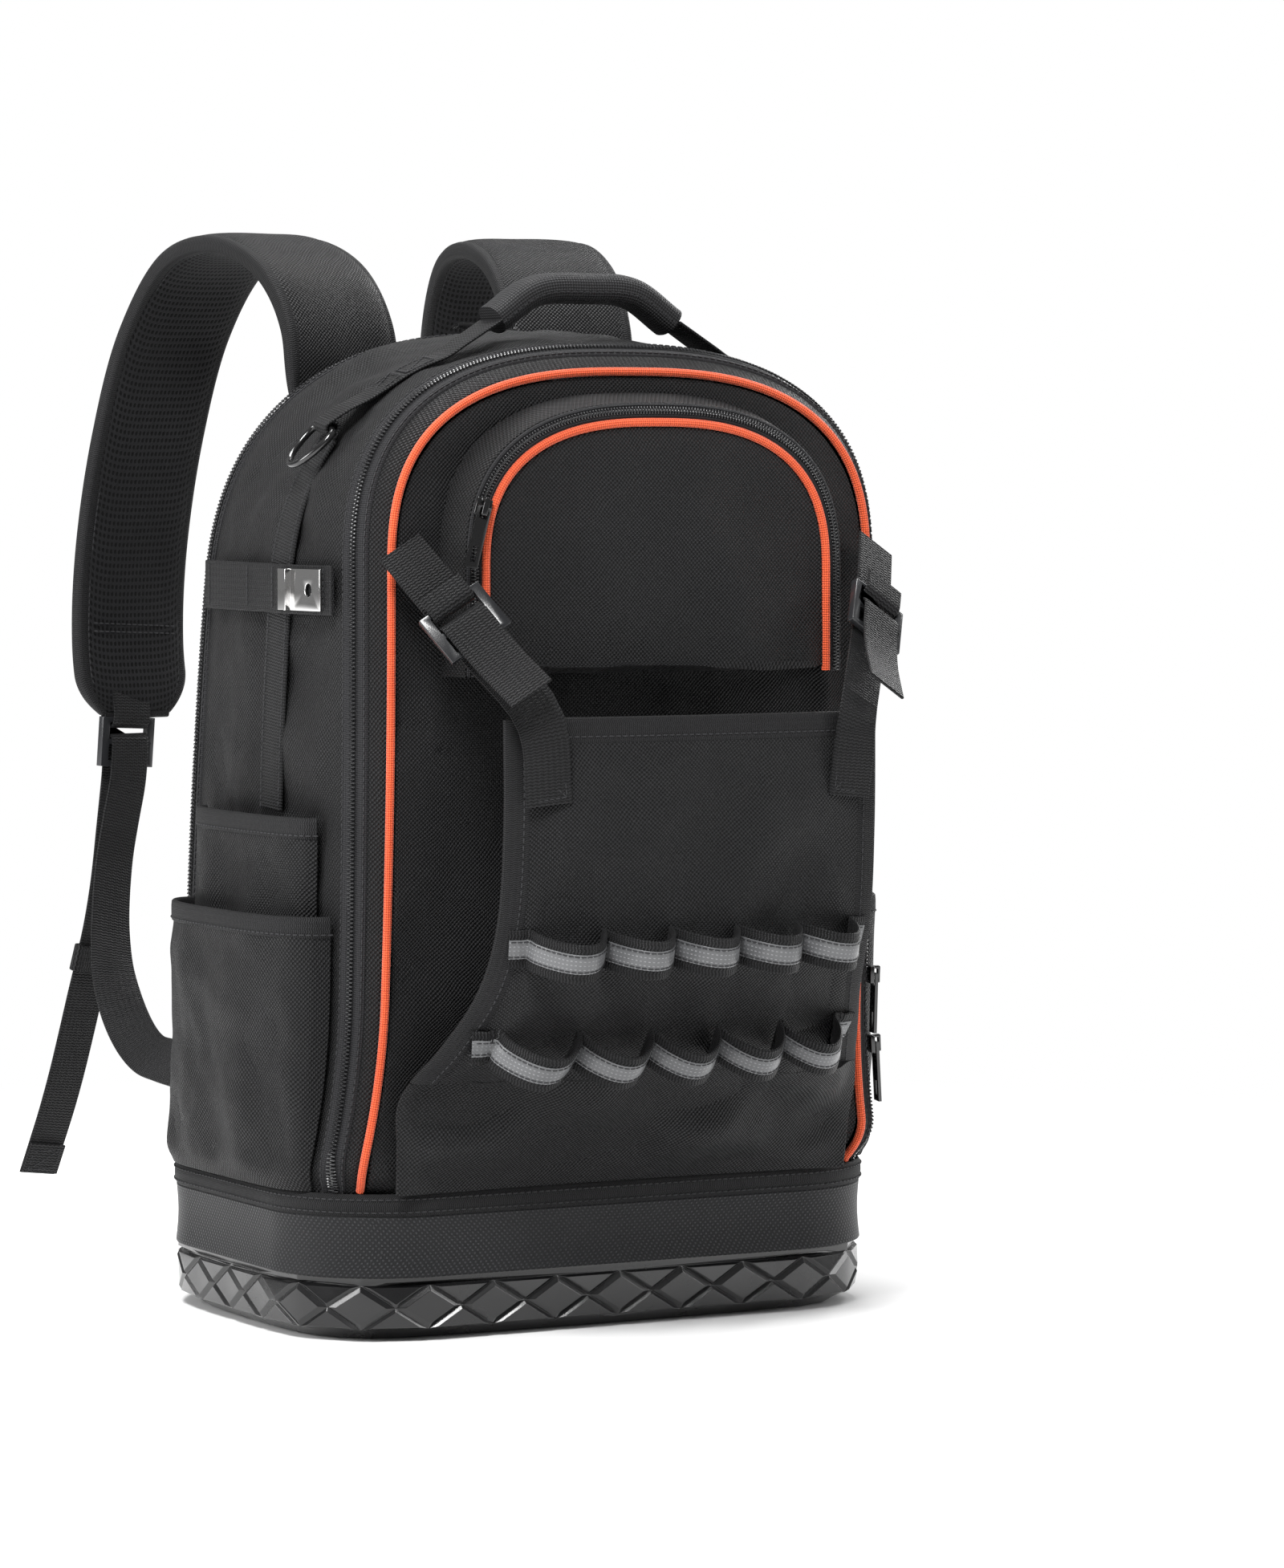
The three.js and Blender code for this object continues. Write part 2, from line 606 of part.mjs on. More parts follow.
const POCKET_ROUNDS = [0, ...ARCH_ROUNDS, 1];

function upperPocket() {
  const strip = (lines, thickness, relief) =>
    sheet(POCKET_ROUNDS.map((round) => lines.map((line) => line(round))), thickness, { relief });
  const { wallFoot, wallTop, face } = POCKET_LINES;
  add("pocket_wall", strip([pocketLine(wallFoot), pocketLine(wallTop)], CLOTH), MATERIALS.packCloth);
  const zipShares = [0, 0.22, 0.26, 0.7, 0.74, 1];
  const zipLines = zipShares.map((share) => pocketLine(pocketZipAt(share)));
  add("pocket_zip", strip(zipLines, ZIP_TAPE, pocketZipRelief), MATERIALS.zip);
  const seam = POCKET_ROUNDS.map(pocketLine(face));
  const cord = sweep(seam, vec(0, 1, 0), ovalSection(2 * PIPING_RADIUS, 2 * PIPING_RADIUS, 6));
  add("pocket_piping", cord, MATERIALS.piping);

  // The face, with a lip at its foot that turns back to the front panel.
  const room = PIPING_RADIUS + 2 * CLEARANCE;
  const edge = pocketLine(face, room);
  const columns = ARCH_ROUNDS.map((round) => edge(round));
  const faceRow = (t) =>
    columns.map((top) => {
      const z = lerp(POCKET_FOOT + room, top.z, t);
      const across = top.x / (POCKET_WIDTH / 2);
      const fill = PANEL_BULGE * (1 - across * across) * Math.sin(Math.PI * Math.min(1, 0.2 + 0.8 * t));
      return vec(top.x, top.y - fill, z);
    });
  const lip = columns.map((top) => vec(top.x, frontFace(top.x, POCKET_FOOT) - POCKET_SEAT, POCKET_FOOT));
  add("pocket_face", sheet([lip, ...steps(4).map(faceRow)], CLOTH), MATERIALS.packCloth);
}

// The sling pocket. at is the share of its height, half the share of SLING_WIDTH, out the share
// of SLING_DEPTH that its middle stands in front of the base, and hold how far its sides go back.
const SLING = [
  { at: 0.0, half: 0.485, out: 0.0, hold: 1.0 },
  { at: 0.1, half: 0.49, out: 0.24, hold: 1.0 },
  { at: 0.2, half: 0.495, out: 0.42, hold: 0.9 },
  { at: 0.3, half: 0.455, out: 0.66, hold: 0.55 },
  { at: 0.42, half: 0.415, out: 0.86, hold: 0.34 },
  { at: 0.56, half: 0.4, out: 0.98, hold: 0.22 },
  { at: 0.76, half: 0.395, out: 1.02, hold: 0.18 },
  { at: 1.0, half: 0.395, out: 1.0, hold: 0.16 },
];
const SLING_FOOT = BASE_TOP + CLEARANCE;

// A point of the sling: across runs from -1 to 1 and up from 0 to 1.
function sling(across, up) {
  const value = (key) => column(SLING, key, up);
  const z = lerp(SLING_FOOT, SLING_TOP, up);
  const front = -BASE_DEPTH / 2 - value("out") * SLING_DEPTH;
  const panel = Math.min(depthAt(sectionAt(1), z) - PANEL_BULGE - 2, -BASE_DEPTH / 2);
  const back = Math.abs(across) ** 2.6 * value("hold");
  return vec(across * value("half") * SLING_WIDTH, lerp(front, panel, back), z);
}

const slingUp = (z) => (z - SLING_FOOT) / (SLING_TOP - SLING_FOOT);

function slingPocket() {
  const bindingShare = (up) => SLING_BINDING / (column(SLING, "half", up) * SLING_WIDTH);
  const topEdge = 1 - SLING_BINDING / (SLING_TOP - SLING_FOOT);
  const gapShare = CLEARANCE / (SLING_TOP - SLING_FOOT);
  const edgeFoot = 0.24;
  const ups = [0, 0.05, 0.1, 0.16, edgeFoot, 0.31, 0.38, 0.48, 0.62, 0.8, topEdge];
  const edge = (up) => (up < edgeFoot - 0.001 ? 1 : 1 - bindingShare(up));
  const wall = ups.map((up) => steps(10, -1, 1).map((across) => sling(across * edge(up), up)));
  add("sling_pocket", sheet(wall, CLOTH), MATERIALS.packCloth);
  const topRows = [topEdge + gapShare, 1].map((up) =>
    steps(12, -1, 1).map((across) => sling(across * (1 - bindingShare(up)), up)),
  );
  add("sling_binding_top", sheet(topRows, SLING_BINDING_WALL), MATERIALS.webbing);
  const sideUps = ups.slice(ups.indexOf(edgeFoot)).concat(1);
  const sideRows = sideUps.map((up) => {
    const inner = 1 - bindingShare(up) + CLEARANCE / (column(SLING, "half", up) * SLING_WIDTH);
    return [sling(-1, up), sling(-inner, up)];
  });
  addPair("sling_binding", sheet(sideRows, SLING_BINDING_WALL), MATERIALS.webbing);

  // Bands of webbing, sewn down between loops that stand out for tools.
  const band = (name, height, depth, span, seat) => {
    const loopShape = [0, 0.05, 0.16, 0.34, 0.5, 0.66, 0.84, 0.95];
    const stops = [-0.035, -0.004].map((along) => ({ along, lift: 0 }));
    for (let i = 0; i < LOOP_COUNT; i++) {
      loopShape.forEach((share) => stops.push({ along: (i + share) / LOOP_COUNT, lift: Math.sin(Math.PI * share) ** 0.7 }));
    }
    stops.push(...[1, 1.004, 1.035].map((along) => ({ along, lift: 0 })));
    const up = slingUp(height);
    const half = column(SLING, "half", up) * SLING_WIDTH;
    const reach = LOOP_WEB / 2 / (SLING_TOP - SLING_FOOT);
    const line = (at) => stops.map(({ along }) => sling(((along - 0.5) * span) / half, at));
    const [low, high] = [line(up - reach), line(up + reach)];
    const upwards = stops.map((_, i) => high[i].clone().sub(low[i]).normalize());
    const middle = line(up);
    const facing = stops.map((_, i) => {
      const [before, after] = [middle[Math.max(i - 1, 0)], middle[Math.min(i + 1, stops.length - 1)]];
      return after.clone().sub(before).cross(upwards[i]).normalize();
    });
    const path = stops.map(({ lift }, i) => {
      const p = middle[i].clone();
      p.y = Math.min(p.y, (low[i].y + high[i].y) / 2);
      return p.addScaledVector(facing[i], WEBBING / 2 + seat + lift * depth);
    });
    add(name, sweep(path, upwards, strapSection(LOOP_WEB, WEBBING)), MATERIALS.webbing);
  };
  band("upper_loops", UPPER_LOOP_HEIGHT, UPPER_LOOP_DEPTH, UPPER_LOOP_SPAN, -CLEARANCE);
  band("lower_loops", LOWER_LOOP_HEIGHT, LOWER_LOOP_DEPTH, LOWER_LOOP_SPAN, 3 * CLEARANCE);
}

// Side pockets are drawn on the left of the bag and mirrored.
function sidePockets() {
  const pocket = (name, top, depth, footDepth, from, to) => {
    const rows = steps(6).map((t) => {
      const z = lerp(BASE_TOP + 2 * CLEARANCE, top, t);
      const reach = lerp(footDepth, depth, Math.sin((Math.PI / 2) * Math.min(1, 1.15 * t)) ** 0.8);
      return steps(10).map((share) => {
        const at = lerp(from, to, share);
        const fill = (1 - Math.abs(2 * share - 1) ** 3.2) ** (1 / 2.2);
        const edge = CLOTH + 3 * CLEARANCE;
        const out = edge + (reach - edge) * fill;
        const p = skin(at, roundAtHeight(at, z));
        return vec(p.x - out, p.y, z);
      });
    });
    addPair(name, sheet(rows, CLOTH), MATERIALS.packCloth);
  };
  pocket("inner_side_pocket", SIDE_POCKET_INNER_TOP, SIDE_POCKET_INNER_DEPTH, 3, 0.215, 0.785);
  pocket("outer_side_pocket", SIDE_POCKET_OUTER_TOP, SIDE_POCKET_OUTER_DEPTH, 9, 0.165, 0.845);
}

// The D-ring's place on the left shoulder, and where the handle leaves the bag.
const RING_AT = 0.65;
const RING_ROUND = 0.342;
const HANDLE_AT = 0.71;
const HANDLE_ROUND = 0.425;
const EYE_RADIUS = RING_WIRE_RADIUS + 0.7;
const RING_LIFT = EYE_RADIUS + 2 * WEBBING + 2 * CLEARANCE;

function sideWebbing() {
  const UPRIGHT_AT = 0.57;
  const HOLDER_FROM = 0.16;
  const HOLDER_TO = 0.85;
  const lift = CLEARANCE + WEBBING / 2;
  const uprightFoot = roundAtHeight(UPRIGHT_AT, SIDE_POCKET_INNER_TOP + 4);
  const upright = steps(8).map((t) => ({
    at: lerp(UPRIGHT_AT, RING_AT, t * t),
    round: lerp(uprightFoot, RING_ROUND - 0.004, t),
  }));
  const uprightPath = upright.map(({ at, round }) => skinOff(at, round, lift + 0.4));
  const uprightAxes = upright.map(({ at, round }) => skin(at + 0.03, round).sub(skin(at - 0.03, round)));
  addPair("side_webbing", sweep(uprightPath, uprightAxes, strapSection(WEB_WIDTH, WEBBING)), MATERIALS.webbing);
  const stacked = lift + WEBBING + CLEARANCE + 1;
  const onSide = (at, height) => skinOff(at, roundAtHeight(at, TAPE_STRAP_HEIGHT), height);
  const holder = steps(8, HOLDER_FROM, HOLDER_TO).map((at) => onSide(at, stacked));
  addPair("tape_strap", sweep(holder, vec(0, 0, 1), strapSection(WEB_WIDTH, WEBBING)), MATERIALS.webbing);

  // A pressed steel plate over the strap on the left side, that a tape measure clips to.
  const CLIP_LENGTH = 44;
  const CLIP_HEIGHT = 21;
  const CLIP_HOLE = 3.4;
  const CLIP_AT = 0.72;
  const plate = joined(
    block([-CLIP_LENGTH / 2, -CLIP_HEIGHT / 2, 0], [CLIP_LENGTH / 2, CLIP_HEIGHT / 2, 1.2]),
    block([-CLIP_LENGTH / 2 + 12, -CLIP_HEIGHT / 2, 1], [-CLIP_LENGTH / 2 + 14, CLIP_HEIGHT / 2, 4.5]),
  );
  const hole = new THREE.CylinderGeometry(CLIP_HOLE, CLIP_HOLE, 6, 12).rotateX(Math.PI / 2);
  hole.translate(CLIP_LENGTH / 2 - 12, 0, 0);
  const drilled = fromSolid(toSolid(plate).subtract(toSolid(hole)));
  const forward = onSide(CLIP_AT + 0.03, stacked).sub(onSide(CLIP_AT - 0.03, stacked)).normalize();
  const up = vec(0, 0, 1).addScaledVector(forward, -forward.z).normalize();
  const normal = forward.clone().cross(up);
  const place = onSide(CLIP_AT, stacked + WEBBING / 2 + CLEARANCE + 0.5);
  const turn = new THREE.Matrix4().makeBasis(forward, up, normal).setPosition(place);
  add("tape_clip", drilled.applyMatrix4(turn), MATERIALS.steel);
}

// Frame of the D-ring: X along its bar, Y away from the bag and Z up the webbing.
function ringFrame() {
  const normal = skinNormal(RING_AT, RING_ROUND);
  const along = skin(HANDLE_AT, HANDLE_ROUND).sub(skin(RING_AT, RING_ROUND));
  along.addScaledVector(normal, -along.dot(normal)).normalize();
  const bar = normal.clone().cross(along).normalize();
  const centre = skinOff(RING_AT, RING_ROUND, RING_LIFT);
  return new THREE.Matrix4().makeBasis(bar, normal, along).setPosition(centre);
}

function handle() {
  // Sewn to the bag from the D-ring's eye up to the handle, then free up to the grip.
  const overEye = RING_LIFT + EYE_RADIUS + WEBBING / 2;
  const lift = CLEARANCE + WEBBING / 2 + 0.5;
  const places = steps(6).map((t) => ({
    at: lerp(RING_AT, HANDLE_AT, t),
    round: lerp(RING_ROUND, HANDLE_ROUND, t),
    height: lerp(overEye, lift, Math.min(1, 2.5 * t)),
  }));
  const sewn = places.map(({ at, round, height }) => skinOff(at, round, height));
  const along = skin(HANDLE_AT, HANDLE_ROUND).sub(skin(RING_AT, RING_ROUND));
  const axes = places.map(({ at, round }) => skinNormal(at, round).cross(along).normalize());
  const foot = sewn[sewn.length - 1];
  const gripEnd = vec(-GRIP_LENGTH / 2, foot.y, foot.z + GRIP_RISE);
  const legEnd = vec(gripEnd.x + 7, foot.y, gripEnd.z + 5);
  const leg = [foot.clone().lerp(legEnd, 0.35), foot.clone().lerp(legEnd, 0.7), legEnd];
  const legAxes = leg.map((_, i) => axes[axes.length - 1].clone().lerp(vec(0, 1, 0), (i + 1) / 3));
  const strap = sweep([...sewn, ...leg], [...axes, ...legAxes], strapSection(WEB_WIDTH, WEBBING));
  const eyeShape = new THREE.Shape().absarc(0, 0, EYE_RADIUS + WEBBING, 0, Math.PI * 2);
  eyeShape.holes.push(new THREE.Path().absarc(0, 0, EYE_RADIUS, 0, Math.PI * 2, true));
  const eye = new THREE.ExtrudeGeometry(eyeShape, { depth: WEB_WIDTH, bevelEnabled: false, curveSegments: 5 });
  eye.translate(0, 0, -WEB_WIDTH / 2).rotateY(Math.PI / 2).applyMatrix4(ringFrame());
  addPair("handle_strap", joined(strap, eye), MATERIALS.webbing);

  // The grip is a padded roll that starts where the webbing stops.
  const start = legEnd.clone().add(vec(0.6, 0, 0.4));
  const crown = vec(0, foot.y, gripEnd.z + GRIP_ARCH);
  const shoulder = vec(-GRIP_LENGTH * 0.24, foot.y, crown.z - 2);
  const right = ({ x, y, z }) => vec(-x, y, z);
  const grip = smoothPath([start, shoulder, crown, right(shoulder), right(start)], 12);
  const section = ovalSection(GRIP_WIDTH, GRIP_THICKNESS, 10, 2.4);
  add("handle_grip", sweep(grip, vec(0, 1, 0), section), MATERIALS.packCloth);
}

function dRings() {
  const half = RING_WIDTH / 2;
  const bend = 5;
  const arc = steps(10, 0, Math.PI).map((turn) =>
    vec(half * Math.cos(turn), 0, -bend - (RING_REACH - bend) * Math.sin(turn) ** 0.9),
  );
  const bar = [-0.82, -0.3, 0.3, 0.82].map((share) => vec(half * share, 0, 0));
  const wire = sweep([...bar, ...arc], vec(0, 1, 0), ovalSection(2 * RING_WIRE_RADIUS, 2 * RING_WIRE_RADIUS, 8), true);
  addPair("d_ring", wire.applyMatrix4(new THREE.Matrix4().makeRotationX(RING_HANG)).applyMatrix4(ringFrame()), MATERIALS.blackMetal);
}

// A zip's slider and pull, in their own frame: X towards the pull's end, Y across the zip and
// Z away from the bag. The pull's bar runs through the slider's bridge.
const SLIDER_LENGTH = 9;
const SLIDER_WIDTH = 8.4;
const PULL_AXIS = 6.1;
const PULL_LENGTH = 31;
const PULL_WIDTH = 7;

function sliderAndPull(name, frame) {
  const under = ZIP_TEETH_HEIGHT + CLEARANCE;
  const halfLength = SLIDER_LENGTH / 2;
  const halfBridge = 1.5;
  const halfPull = PULL_WIDTH / 2;
  const plateTop = PULL_AXIS - 1.5;
  const bridgeUnder = PULL_AXIS + 1.4;
  const bridgeTop = bridgeUnder + 1.4;
  const slider = joined(
    block([-halfLength, -SLIDER_WIDTH / 2, under], [halfLength, SLIDER_WIDTH / 2, plateTop]),
    block([-halfLength, -halfBridge, plateTop - 0.5], [-halfLength + 1.5, halfBridge, bridgeTop]),
    block([halfLength - 1.5, -halfBridge, plateTop - 0.5], [halfLength, halfBridge, bridgeTop]),
    block([-halfLength, -halfBridge, bridgeUnder], [halfLength, halfBridge, bridgeTop]),
  );
  const [low, high] = [PULL_AXIS - 0.8, PULL_AXIS + 0.8];
  const tabFrom = halfLength + 1.6;
  const pull = joined(
    new THREE.CylinderGeometry(1, 1, PULL_WIDTH, 8).translate(0, 0, PULL_AXIS),
    block([-1, -halfPull, low], [tabFrom + 1, -halfPull + 1.5, high]),
    block([-1, halfPull - 1.5, low], [tabFrom + 1, halfPull, high]),
    block([tabFrom, -halfPull, low], [PULL_LENGTH, halfPull, high]),
  );
  const slot = block([PULL_LENGTH - 11, -1.4, low - 1], [PULL_LENGTH - 3, 1.4, high + 1]);
  const slotted = fromSolid(toSolid(pull).subtract(toSolid(slot)));
  add(name + "_slider", slider.applyMatrix4(frame), MATERIALS.blackMetal);
  add(name + "_pull", slotted.applyMatrix4(frame), MATERIALS.blackMetal);
}

// The frame of a slider on one of the body's zips. towards is +1 or -1 round the bag.
function frameOnSkin(at, round, towards, lift = 0) {
  const normal = skinNormal(at, round);
  const along = skin(at, round + towards * 0.01).sub(skin(at, round));
  along.addScaledVector(normal, -along.dot(normal)).normalize();
  const across = normal.clone().cross(along);
  return new THREE.Matrix4().makeBasis(along, across, normal).setPosition(skinOff(at, round, lift));
}

function zipSliders() {
  const UPPER_SLIDER_HEIGHT = 174;
  const LOWER_SLIDER_HEIGHT = 137;
  const onFront = (z) => 1 - roundAtHeight(FRONT_ZIP_AT, z);
  sliderAndPull("rear_zip_left", frameOnSkin(REAR_ZIP_AT, 0.507, -1, -0.4));
  sliderAndPull("rear_zip_right", frameOnSkin(REAR_ZIP_AT, 0.562, 1, -0.3));
  sliderAndPull("front_zip_upper", frameOnSkin(FRONT_ZIP_AT, onFront(UPPER_SLIDER_HEIGHT), 1, 0.4));
  sliderAndPull("front_zip_lower", frameOnSkin(FRONT_ZIP_AT, onFront(LOWER_SLIDER_HEIGHT), 1, 0.4));
  const POCKET_SLIDER_ROUND = 0.3;
  const zipLine = (share) => pocketLine(pocketZipAt(share));
  const place = zipLine(0.48)(POCKET_SLIDER_ROUND);
  const along = zipLine(0.48)(POCKET_SLIDER_ROUND - 0.01).sub(place).normalize();
  const across = zipLine(1)(POCKET_SLIDER_ROUND).sub(zipLine(0)(POCKET_SLIDER_ROUND));
  const normal = across.clone().cross(along).normalize();
  if (normal.y > 0) normal.negate();
  const frame = new THREE.Matrix4().makeBasis(along, normal.clone().cross(along), normal).setPosition(place);
  sliderAndPull("pocket_zip", frame);
}

// A ladder-lock buckle, in its own frame: X along the strap, Y across it and Z outwards. Webbing
// turns back round its end bar, and the strap turns back round its middle bar.
const BAR_HALF = 1.5;
const BAR_SPACING = 12.2;
const TURN_RADIUS = 3.9;
const turnRound = (barX, side) =>
  steps(6, -Math.PI / 2, Math.PI / 2).map((a) => [barX + side * TURN_RADIUS * Math.cos(a), TURN_RADIUS * Math.sin(a)]);

function ladderBuckle() {
  const half = BUCKLE_THICKNESS / 2;
  const windowWidth = WEB_WIDTH / 2 + 0.6;
  const width = windowWidth + BUCKLE_FRAME;
  const length = BAR_SPACING + BAR_HALF;
  const frame = block([-length, -width, -half], [length, width, half]);
  const window = block([-BAR_SPACING + BAR_HALF, -windowWidth, -6], [BAR_SPACING - BAR_HALF, windowWidth, 6]);
  const bar = block([-BAR_HALF, -width + 1, -half], [BAR_HALF, width - 1, half]);
  return fromSolid(toSolid(frame).subtract(toSolid(window)).add(toSolid(bar)));
}

// A buckle's frame in the world, and a way to place points of its plane.
function buckleFrame(centre, along, outward) {
  const x = along.clone().normalize();
  const y = outward.clone().cross(x).normalize();
  const z = x.clone().cross(y);
  const matrix = new THREE.Matrix4().makeBasis(x, y, z).setPosition(centre);
  return { matrix, axis: y, at: ([u, n]) => vec(u, 0, n).applyMatrix4(matrix) };
}

// Cinch straps hold the sling's top corners to the body.
function cinchStraps() {
  const section = strapSection(WEB_WIDTH, WEBBING);
  const front = sectionAt(1);
  const seamX = -front.half;
  const CINCH_TOP = BODY_HEIGHT - 108;
  const CINCH_SPREAD = 0.86;
  const CINCH_END_DROP = 42;
  const top = vec(seamX, depthAt(front, CINCH_TOP) - 9, CINCH_TOP);
  const corner = sling(-CINCH_SPREAD, 1).add(vec(0, -4.5, 0));
  const end = sling(-CINCH_SPREAD + 0.05, slingUp(SLING_TOP - CINCH_END_DROP)).add(vec(0, -CLEARANCE - 2, 0));
  const buckle = buckleFrame(top.clone().lerp(corner, 0.44).add(vec(-1, -6, 0)), corner.clone().sub(top), vec(-0.3, -0.9, 0.3));
  const place = buckle.at;
  const loop = [top, place([-26, -TURN_RADIUS]), ...turnRound(-BAR_SPACING, 1).map(place), place([-22, TURN_RADIUS])];
  addPair("cinch_anchor", sweep(loop, buckle.axis, section), MATERIALS.webbing);
  const tail = [place([14, TURN_RADIUS + 0.6]), place([30, TURN_RADIUS + 3]), place([52, TURN_RADIUS + 9])];
  const strap = [end, corner, place([16, -TURN_RADIUS]), ...turnRound(0, -1).map(place), ...tail];
  addPair("cinch_strap", sweep(strap, buckle.axis, section), MATERIALS.webbing);
  addPair("cinch_buckle", ladderBuckle().applyMatrix4(buckle.matrix), MATERIALS.plastic);
}

// Paths of the left shoulder strap: the pad, then its webbing's rise from the bag's foot and its
// free tail. out is a share of half BODY_WIDTH, reach of STRAP_REACH and rise of BODY_HEIGHT.
const PAD_PATH = [
  { out: 0.45, reach: 0.0, rise: 0.935 },
  { out: 0.455, reach: 0.03, rise: 1.01 },
  { out: 0.48, reach: 0.16, rise: 1.068 },
  { out: 0.525, reach: 0.42, rise: 1.1 },
  { out: 0.575, reach: 0.68, rise: 1.085 },
  { out: 0.63, reach: 0.87, rise: 1.01 },
  { out: 0.69, reach: 0.965, rise: 0.896 },
  { out: 0.74, reach: 1.0, rise: 0.768 },
  { out: 0.758, reach: 0.989, rise: 0.669 },
  { out: 0.75, reach: 0.955, rise: 0.6 },
];
const RISE_PATH = [
  { out: 0.99, reach: 0.45, rise: 0.25 },
  { out: 0.935, reach: 0.77, rise: 0.32 },
  { out: 0.87, reach: 0.9, rise: 0.42 },
];
const TAIL_PATH = [
  { out: 0.86, reach: 0.977, rise: 0.39 },
  { out: 0.914, reach: 1.03, rise: 0.29 },
  { out: 0.975, reach: 1.1, rise: 0.18 },
  { out: 1.04, reach: 1.17, rise: 0.09 },
];

// Shoulder straps: a padded part that springs back in an arch, and the webbing below it.
function shoulderStraps() {
  const back = sectionAt(0);
  const sewnY = depthAt(back, PAD_PATH[0].rise * BODY_HEIGHT) + PAD_THICKNESS / 2 + 3;
  const along = (table) =>
    table.map(({ out, reach, rise }) => vec((-out * BODY_WIDTH) / 2, sewnY + reach * STRAP_REACH, rise * BODY_HEIGHT));
  const spine = along(PAD_PATH);
  const PAD_STEPS = 20;
  const pad = smoothPath(spine, PAD_STEPS);
  const padding = sweep(pad, vec(1, 0.2, 0), ovalSection(PAD_WIDTH, PAD_THICKNESS, 10, 4));

  // The webbing rises from the bag's foot, turns round the buckle and hangs down as a free tail.
  const tip = spine[spine.length - 1];
  const buckle = buckleFrame(tip.clone().add(vec(-6, -1, -17)), vec(-0.06, 0.02, -1), vec(-0.25, 1, 0));
  const place = buckle.at;
  const section = strapSection(WEB_WIDTH, WEBBING);
  const inPad = [-BAR_SPACING - 12, -1];
  const tab = [inPad, [-BAR_SPACING - 4, -TURN_RADIUS], ...turnRound(-BAR_SPACING, 1).slice(1)];
  const loop = sweep(tab.map(place), buckle.axis, section);
  addPair("shoulder_pad", joined(padding, loop), MATERIALS.mesh);
  const foot = skinOff(0.05, roundAtHeight(0.05, WEBBING_FOOT), WEBBING / 2 + CLEARANCE + 1.4);
  const rise = smoothPath([foot, ...along(RISE_PATH), place([20, -TURN_RADIUS])], 10);
  const fall = smoothPath([place([18, TURN_RADIUS]), ...along(TAIL_PATH)], 10);
  const path = [...rise, ...turnRound(0, -1).map(place), ...fall];
  const axes = path.map((_, i) => vec(0.35, 0.1, 1).lerp(vec(1, 0.25, 0), Math.min(1, i / 7)));
  addPair("shoulder_webbing", sweep(path, axes, section), MATERIALS.webbing);
  addPair("shoulder_buckle", ladderBuckle().applyMatrix4(buckle.matrix), MATERIALS.plastic);
}

base();
body();
upperPocket();
slingPocket();
sidePockets();
sideWebbing();
handle();
dRings();
zipSliders();
cinchStraps();
shoulderStraps();

export default backpack;
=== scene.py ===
"""Dresses a tool backpack: cloth, webbing, zips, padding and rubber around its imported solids.

The bag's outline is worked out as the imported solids' own source does, in millimetres, from a
few driving sizes. Every piece is then made from that outline at a finer grain, with its weave
laid along the piece's own UV map in metres, and put in the place of its plain solid.
"""

import json
import logging
import math
from collections.abc import Callable, Sequence
from dataclasses import dataclass, field
from enum import Enum

import bpy
import numpy as np
from mathutils import Matrix, Vector, noise

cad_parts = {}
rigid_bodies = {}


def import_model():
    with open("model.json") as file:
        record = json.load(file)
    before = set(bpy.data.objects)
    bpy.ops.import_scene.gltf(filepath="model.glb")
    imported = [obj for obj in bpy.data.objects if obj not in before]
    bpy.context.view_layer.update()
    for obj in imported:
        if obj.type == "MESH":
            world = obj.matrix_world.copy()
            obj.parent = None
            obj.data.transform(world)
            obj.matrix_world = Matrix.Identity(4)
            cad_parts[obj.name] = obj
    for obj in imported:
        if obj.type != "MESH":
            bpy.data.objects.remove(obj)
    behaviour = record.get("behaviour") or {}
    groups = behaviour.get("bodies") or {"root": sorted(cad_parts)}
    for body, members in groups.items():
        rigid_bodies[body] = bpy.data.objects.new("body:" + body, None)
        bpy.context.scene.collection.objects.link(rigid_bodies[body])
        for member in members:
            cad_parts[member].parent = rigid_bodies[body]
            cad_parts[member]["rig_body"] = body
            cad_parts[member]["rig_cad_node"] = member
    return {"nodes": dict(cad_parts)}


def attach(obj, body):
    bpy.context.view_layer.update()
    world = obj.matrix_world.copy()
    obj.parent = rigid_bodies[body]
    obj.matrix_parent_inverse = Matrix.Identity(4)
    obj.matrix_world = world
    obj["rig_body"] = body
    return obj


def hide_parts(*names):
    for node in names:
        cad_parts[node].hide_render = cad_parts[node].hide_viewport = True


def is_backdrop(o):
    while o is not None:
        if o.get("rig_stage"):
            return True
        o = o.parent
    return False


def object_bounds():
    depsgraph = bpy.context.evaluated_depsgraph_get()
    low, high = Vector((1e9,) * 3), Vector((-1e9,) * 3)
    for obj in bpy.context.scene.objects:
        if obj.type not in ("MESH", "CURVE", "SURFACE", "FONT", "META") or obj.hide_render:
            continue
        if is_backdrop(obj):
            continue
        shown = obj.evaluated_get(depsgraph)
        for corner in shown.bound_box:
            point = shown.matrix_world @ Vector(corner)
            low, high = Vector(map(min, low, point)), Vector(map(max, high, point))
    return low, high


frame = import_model()
CAD_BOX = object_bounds()

LOG = logging.getLogger("backpack")
MM = 0.001
BAG = "bag"
CLOTH = 2.0
WEBBING = 1.6
WEB_WIDTH = 25.0
CLEARANCE = 0.3
PIPING_RADIUS = 2.2

Grid = np.ndarray
Line = list[Vector]


class Slot(Enum):
    """The record's material slots."""

    PACK_CLOTH = "pack_cloth"
    WEBBING = "webbing"
    MESH = "mesh"
    PIPING = "piping"
    ZIP = "zip"
    RUBBER = "rubber"
    PLASTIC = "plastic"
    BLACK_METAL = "black_metal"
    STEEL = "steel"


